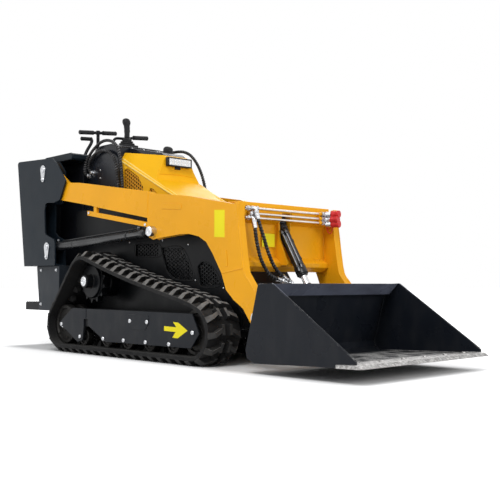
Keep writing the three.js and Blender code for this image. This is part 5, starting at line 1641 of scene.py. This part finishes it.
lift_run = cylinder_run(LIFT_BASE, LIFT_EYE)
lift_up = Vector((-lift_run.z, 0, lift_run.x))
lift_length = (Vector(LIFT_EYE) - Vector(LIFT_BASE)).length
for side, sign in SIDES:
    y = sign * CYLINDER_Y
    base = (LIFT_BASE[0], y, LIFT_BASE[1])
    tube_profile = [(0.0144, BARREL_END), (0.0250, BARREL_END), (0.0285, BARREL_END - 0.003),
                    (0.0285, BARREL_END - 0.040), (0.0270, BARREL_END - 0.043),
                    (BARREL_RADIUS, BARREL_END - 0.045), (BARREL_RADIUS, 0.052), (0.0285, 0.050),
                    (0.0285, 0.038), (0.020, 0.024), (0.010, 0.020), (0.0, 0.020), (0.0, 0.100),
                    (0.0144, 0.100)]
    barrel = turned(tube_profile, base, lift_run, 48)
    eye = turned(mm((16.4, -26), (31, -26), (34, -23), (34, 23), (31, 26), (16.4, 26)), base, (0, 1, 0), 40,
                 closed=True)
    near, far = (Vector(in_line(LIFT_BASE, LIFT_EYE, along, y)) for along in (0.075, BARREL_END - 0.060))
    bosses = [turned(mm((13, 0), (13, 9), (12, 10)), port + lift_up * (BARREL_RADIUS - 0.002), lift_up, 24)
              for port in (near, far)]
    finished(f"lift_barrel_{side}_body", joined(barrel, eye, *bosses), f"lift_barrel_{side}",
             [cylinder_paint],
             [f"lift_barrel_{side}"], bevel=0.0008, smooth=35)
    lay = lift_up * (BARREL_RADIUS + 0.009) + Vector((0, -sign * 0.016, 0))
    pipe_path = [far + lift_up * 0.034, far + lift_up * 0.040 + Vector((-0.010, -sign * 0.004, 0)),
                 far + lay + Vector((-0.034, 0, 0)),
                 near.lerp(far, 0.5) + lay, near + lay + Vector((0.060, 0, 0)),
                 near + lay + Vector((0.030, 0, 0))]
    feed = plain_tube(pipe_path, 0.0052, 14, 0.012)
    nuts = [turned(mm((10.5, 0), (11.5, 1), (11.5, 10), (9.5, 12)), foot + lift_up * (BARREL_RADIUS + 0.007),
                   lift_up, 6)
            for foot in (near, far)]
    clamps = [turned([(BARREL_RADIUS, -0.006), (BARREL_RADIUS + 0.0012, -0.0055),
                      (BARREL_RADIUS + 0.0012, 0.0055),
                      (BARREL_RADIUS, 0.006)], near.lerp(far, t), lift_run, 40) for t in (0.22, 0.88)]
    finished(f"lift_feed_pipe_{side}", joined(feed, *clamps), f"lift_barrel_{side}",
             [cylinder_paint], smooth=60)
    finished(f"lift_fittings_{side}", joined(*nuts), f"lift_barrel_{side}", [feed_steel],
             bevel=0.0004)
    gland = turned(mm((14.4, 0.2), (23.5, 0.2), (23.5, 4), (22, 6), (17.5, 6), (16.5, 9), (14.4, 9)),
                   in_line(LIFT_BASE, LIFT_EYE, BARREL_END, y), lift_run, 40, closed=True)
    finished(f"lift_gland_{side}", gland, f"lift_barrel_{side}", [cylinder_paint], smooth=35)

    rod = turned([(ROD_RADIUS - 0.001, 0.520), (ROD_RADIUS, 0.521), (ROD_RADIUS, lift_length - 0.030)], base,
                 lift_run, 40)
    eye = turned(mm((0, -13), (28, -13), (30, -11), (30, 11), (28, 13), (0, 13)),
                 (LIFT_EYE[0], y, LIFT_EYE[1]), (0, 1, 0), 40)
    neck = turned([(0.0175, lift_length - 0.050), (0.0195, lift_length - 0.047), (0.0205, lift_length - 0.018)],
                  base, lift_run, 32)
    finished(f"lift_rod_{side}_chrome", rod, f"lift_rod_{side}", [chrome_rod],
             [f"lift_rod_{side}"], smooth=40)
    finished(f"lift_rod_{side}_eye", joined(eye, neck), f"lift_rod_{side}", [cylinder_paint],
             bevel=0.0006)


# ---- tilt cylinder ------------------------------------------------------------------------
# One short cylinder between the crossmember's cheeks tips the bucket. Two thin steel feed pipes run down
# beside its barrel from the hose fittings.
tilt_run = cylinder_run(TILT_BASE, TILT_EYE)
tilt_out = Vector((-tilt_run.z, 0, tilt_run.x))
tilt_length = (Vector(TILT_EYE) - Vector(TILT_BASE)).length
base = (TILT_BASE[0], 0, TILT_BASE[1])
barrel = turned(mm((16.4, 330), (26.5, 330), (30.5, 327), (30.5, 288), (28.5, 284), (28, 283), (28, 50),
                   (30, 48), (30, 36), (20, 22), (0, 18), (0, 60), (16.4, 60)), base, tilt_run, 48)
eye = turned(mm((14.4, -30), (26, -30), (28, -27), (28, 27), (26, 30), (14.4, 30)), base, (0, 1, 0), 40,
             closed=True)
finished("tilt_barrel_body", joined(barrel, eye), "tilt_barrel", [cylinder_paint],
         ["tilt_barrel"], bevel=0.0008)
pipes, nuts = [], []
for y, out, low_end in ((-0.020, 0.031, 0.300), (-0.037, 0.020, 0.316)):
    def beside(along, push=0.0):
        return Vector(base) + tilt_run * along + tilt_out * (out + push) + Vector((0, y, 0))
    pipes.append(plain_tube([beside(0.070, -0.010), beside(0.078, -0.002), beside(0.100), beside(0.180),
                             beside(0.250),
                             beside(low_end - 0.012), beside(low_end, -0.004)], 0.0052, 14, 0.008))
    nuts.append(turned(mm((9, 0), (9.8, 1), (9.8, 12), (8, 14)), beside(low_end - 0.030), tilt_run, 6))
    nuts.append(turned(mm((9, 0), (9.8, 1), (9.8, 12), (8, 14)), beside(0.084), tilt_run, 6))
for along in (0.135, 0.240):
    nuts.append(turned(mm((28, -7), (29.8, -6.5), (29.8, 6.5), (28, 7)), Vector(base) + tilt_run * along,
                       tilt_run, 40))
port = Vector(base) + tilt_run * 0.300
nuts.append(turned(mm((16, 0), (16, 40), (14.5, 42)), port + Vector((0, 0.004, 0)), (0.12, -1, 0.1), 24))
finished("tilt_feed_pipes", joined(*pipes), "tilt_barrel", [feed_steel], smooth=60)
finished("tilt_fittings", joined(*nuts), "tilt_barrel", [cylinder_paint], bevel=0.0004)
gland = turned(mm((16.4, 330.2), (25, 330.2), (25, 334), (23.5, 336), (19, 336), (17.5, 339), (16.4, 339)),
               base, tilt_run, 40, closed=True)
finished("tilt_gland", gland, "tilt_barrel", [cylinder_paint], smooth=35)
rod = turned([(0.015, 0.120), (0.016, 0.121), (0.016, tilt_length - 0.026)], base, tilt_run, 40)
eye = joined(turned(mm((0, -18), (25, -18), (27, -16), (27, 16), (25, 18), (0, 18)),
                    (TILT_EYE[0], 0, TILT_EYE[1]), (0, 1, 0), 40),
             turned([(0.0185, tilt_length - 0.044), (0.0205, tilt_length - 0.041),
                     (0.021, tilt_length - 0.016)], base, tilt_run, 32))
finished("tilt_rod_chrome", rod, "tilt_rod", [chrome_rod], ["tilt_rod"], smooth=40)
finished("tilt_rod_eye", eye, "tilt_rod", [cylinder_paint], bevel=0.0006)


# ---- bucket -------------------------------------------------------------------------------
# A welded general-purpose bucket: dark paint on bent plate, its floor scoured grey by the load, with a hardened
# edge bolted along the front. Its back is hooked on the attachment plate, which the arms and tilt rod hold.
BUCKET_HALF = 0.472
bucket_paint = paint_material("bucket_paint", (0.0085, 0.0105, 0.0150), 0.30, dust=0.05, wear=0.5, gloss=0.14)
tree, shader, painted = under_coat(bucket_paint)
painted_shine = shader.inputs["Roughness"].links[0].from_socket
# the floor inside, low down and facing up, is worn to speckled steel
floor_zone = calc(tree, "MULTIPLY", remap(tree, along_axis(tree, "Z"), 0.128, 0.082),
                  remap(tree, along_axis(tree, "X"), 0.90, 0.99))
geometry = tree.nodes.new("ShaderNodeNewGeometry")
split = tree.nodes.new("ShaderNodeSeparateXYZ")
tree.links.new(geometry.outputs["Normal"], split.inputs[0])
facing_up = remap(tree, split.outputs["Z"], 0.2, 0.6)
scour = calc(tree, "MULTIPLY", floor_zone, facing_up)
broken = calc(tree, "MULTIPLY", scour, remap(tree, noise(tree, 26, 8, stretch=(0.6, 1, 1)), 0.40, 0.56))
speckle = remap(tree, noise(tree, 150, 4, roughness=0.75), 0.42, 0.62)
steel_shade = blend_colours(tree, speckle, (0.11, 0.108, 0.105), (0.52, 0.51, 0.50))
# painted highlight: the folded lip under the top edge, where it faces forward, is painted a lighter slate, as if it
# caught the light
lit_lip_zone = calc(tree, "MULTIPLY", remap(tree, along_axis(tree, "Z"), 0.352, 0.358),
                remap(tree, split.outputs["X"], 0.4, 0.6))
lip_painted_highlight = calc(tree, "MULTIPLY", lit_lip_zone,
                  remap(tree, noise(tree, 9, 5, stretch=(1, 0.5, 1)), 0.25, 0.6, 0.6, 1.0))
painted = blend_colours(tree, lip_painted_highlight, painted, (0.125, 0.138, 0.185))
looks(tree, shader, blend_colours(tree, broken, painted, steel_shade),
      calc(tree, "ADD", painted_shine, calc(tree, "MULTIPLY", broken, 0.28)))
dressed("bucket_shell", bucket_paint, "bucket", bevel=0.0024)

worn_steel, tree, shader = plain_material("worn_steel", (0.40, 0.39, 0.38), 0.45, 0.85)
scratches = noise(tree, 120, 5, stretch=(0.12, 1, 1))
chips = remap(tree, noise(tree, 70, 6, roughness=0.7), 0.42, 0.62)
looks(tree, shader, blend_colours(tree, chips, (0.20, 0.195, 0.19), (0.58, 0.57, 0.56)),
      remap(tree, scratches, 0.3, 0.7, 0.30, 0.65),
      bump(tree, calc(tree, "ADD", scratches, chips), 0.5, 0.0007))
dressed("cutting_edge", worn_steel, "bucket", bevel=0.0016)
edge_bolts = [((1.432, -0.40 + k * 0.16, 0.0815), (0, 0.03, 0), EVEN) for k in range(6)]
set_out("edge_bolts", dome_bolt(), 0.0105, edge_bolts, worn_steel, "bucket")

# weld beads where the side plates meet the bent shell, inside
BEAD_LINE = mm((929, 400), (893, 268), (857, 138), (849, 112), (852, 84), (872, 67), (896, 60), (1100, 66),
               (1370, 74))
beads = [weld_bead([(x, sign * (BUCKET_HALF - 0.0105), z) for x, z in BEAD_LINE], 0.0042) for sign in (-1, 1)]
finished("bucket_welds", joined(*beads), "bucket", [bucket_paint], smooth=60)
rims = [plain_tube([(x, sign * (BUCKET_HALF - 0.005), z)
                    for x, z in mm((1012, 408.5), (1240, 257.5), (1476, 100.5))],
                   0.0048, 12, 0.05) for sign in (-1, 1)]
finished("bucket_rims", joined(*rims), "bucket", [bucket_paint], smooth=60)
lip = plain_tube(mm((920, -470, 406.5), (920, 0, 406.5), (920, 470, 406.5)), 0.0062, 14, 0.1)
finished("bucket_back_rim", lip, "bucket", [bucket_paint], smooth=60)

dressed("attach_plate", tower_paint, "bucket", bevel=0.002)
BUCKET_PIVOT = (0.800, 0.250)
plate_pins = []
for sign in (-1, 1):
    plate_pins.append(turned(mm((20.5, 0), (20.5, 4), (18, 6), (0, 6)), (BUCKET_PIVOT[0], sign * 0.3795, BUCKET_PIVOT[1]),
                             (0, sign, 0), 32))
    plate_pins.append(turned(mm((20, 0), (20, 6), (17, 8), (0, 8)), (TILT_EYE[0], sign * 0.0345, TILT_EYE[1]),
                             (0, sign, 0), 32))
plate_pins.append(turned([(0.0138, -0.030), (0.0138, 0.030)], (TILT_EYE[0], 0, TILT_EYE[1]), (0, 1, 0), 24))
finished("hinge_pins", joined(*plate_pins), "bucket", [plated_steel], bevel=0.0006)


# ---- finish -------------------------------------------------------------------------------
low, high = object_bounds()
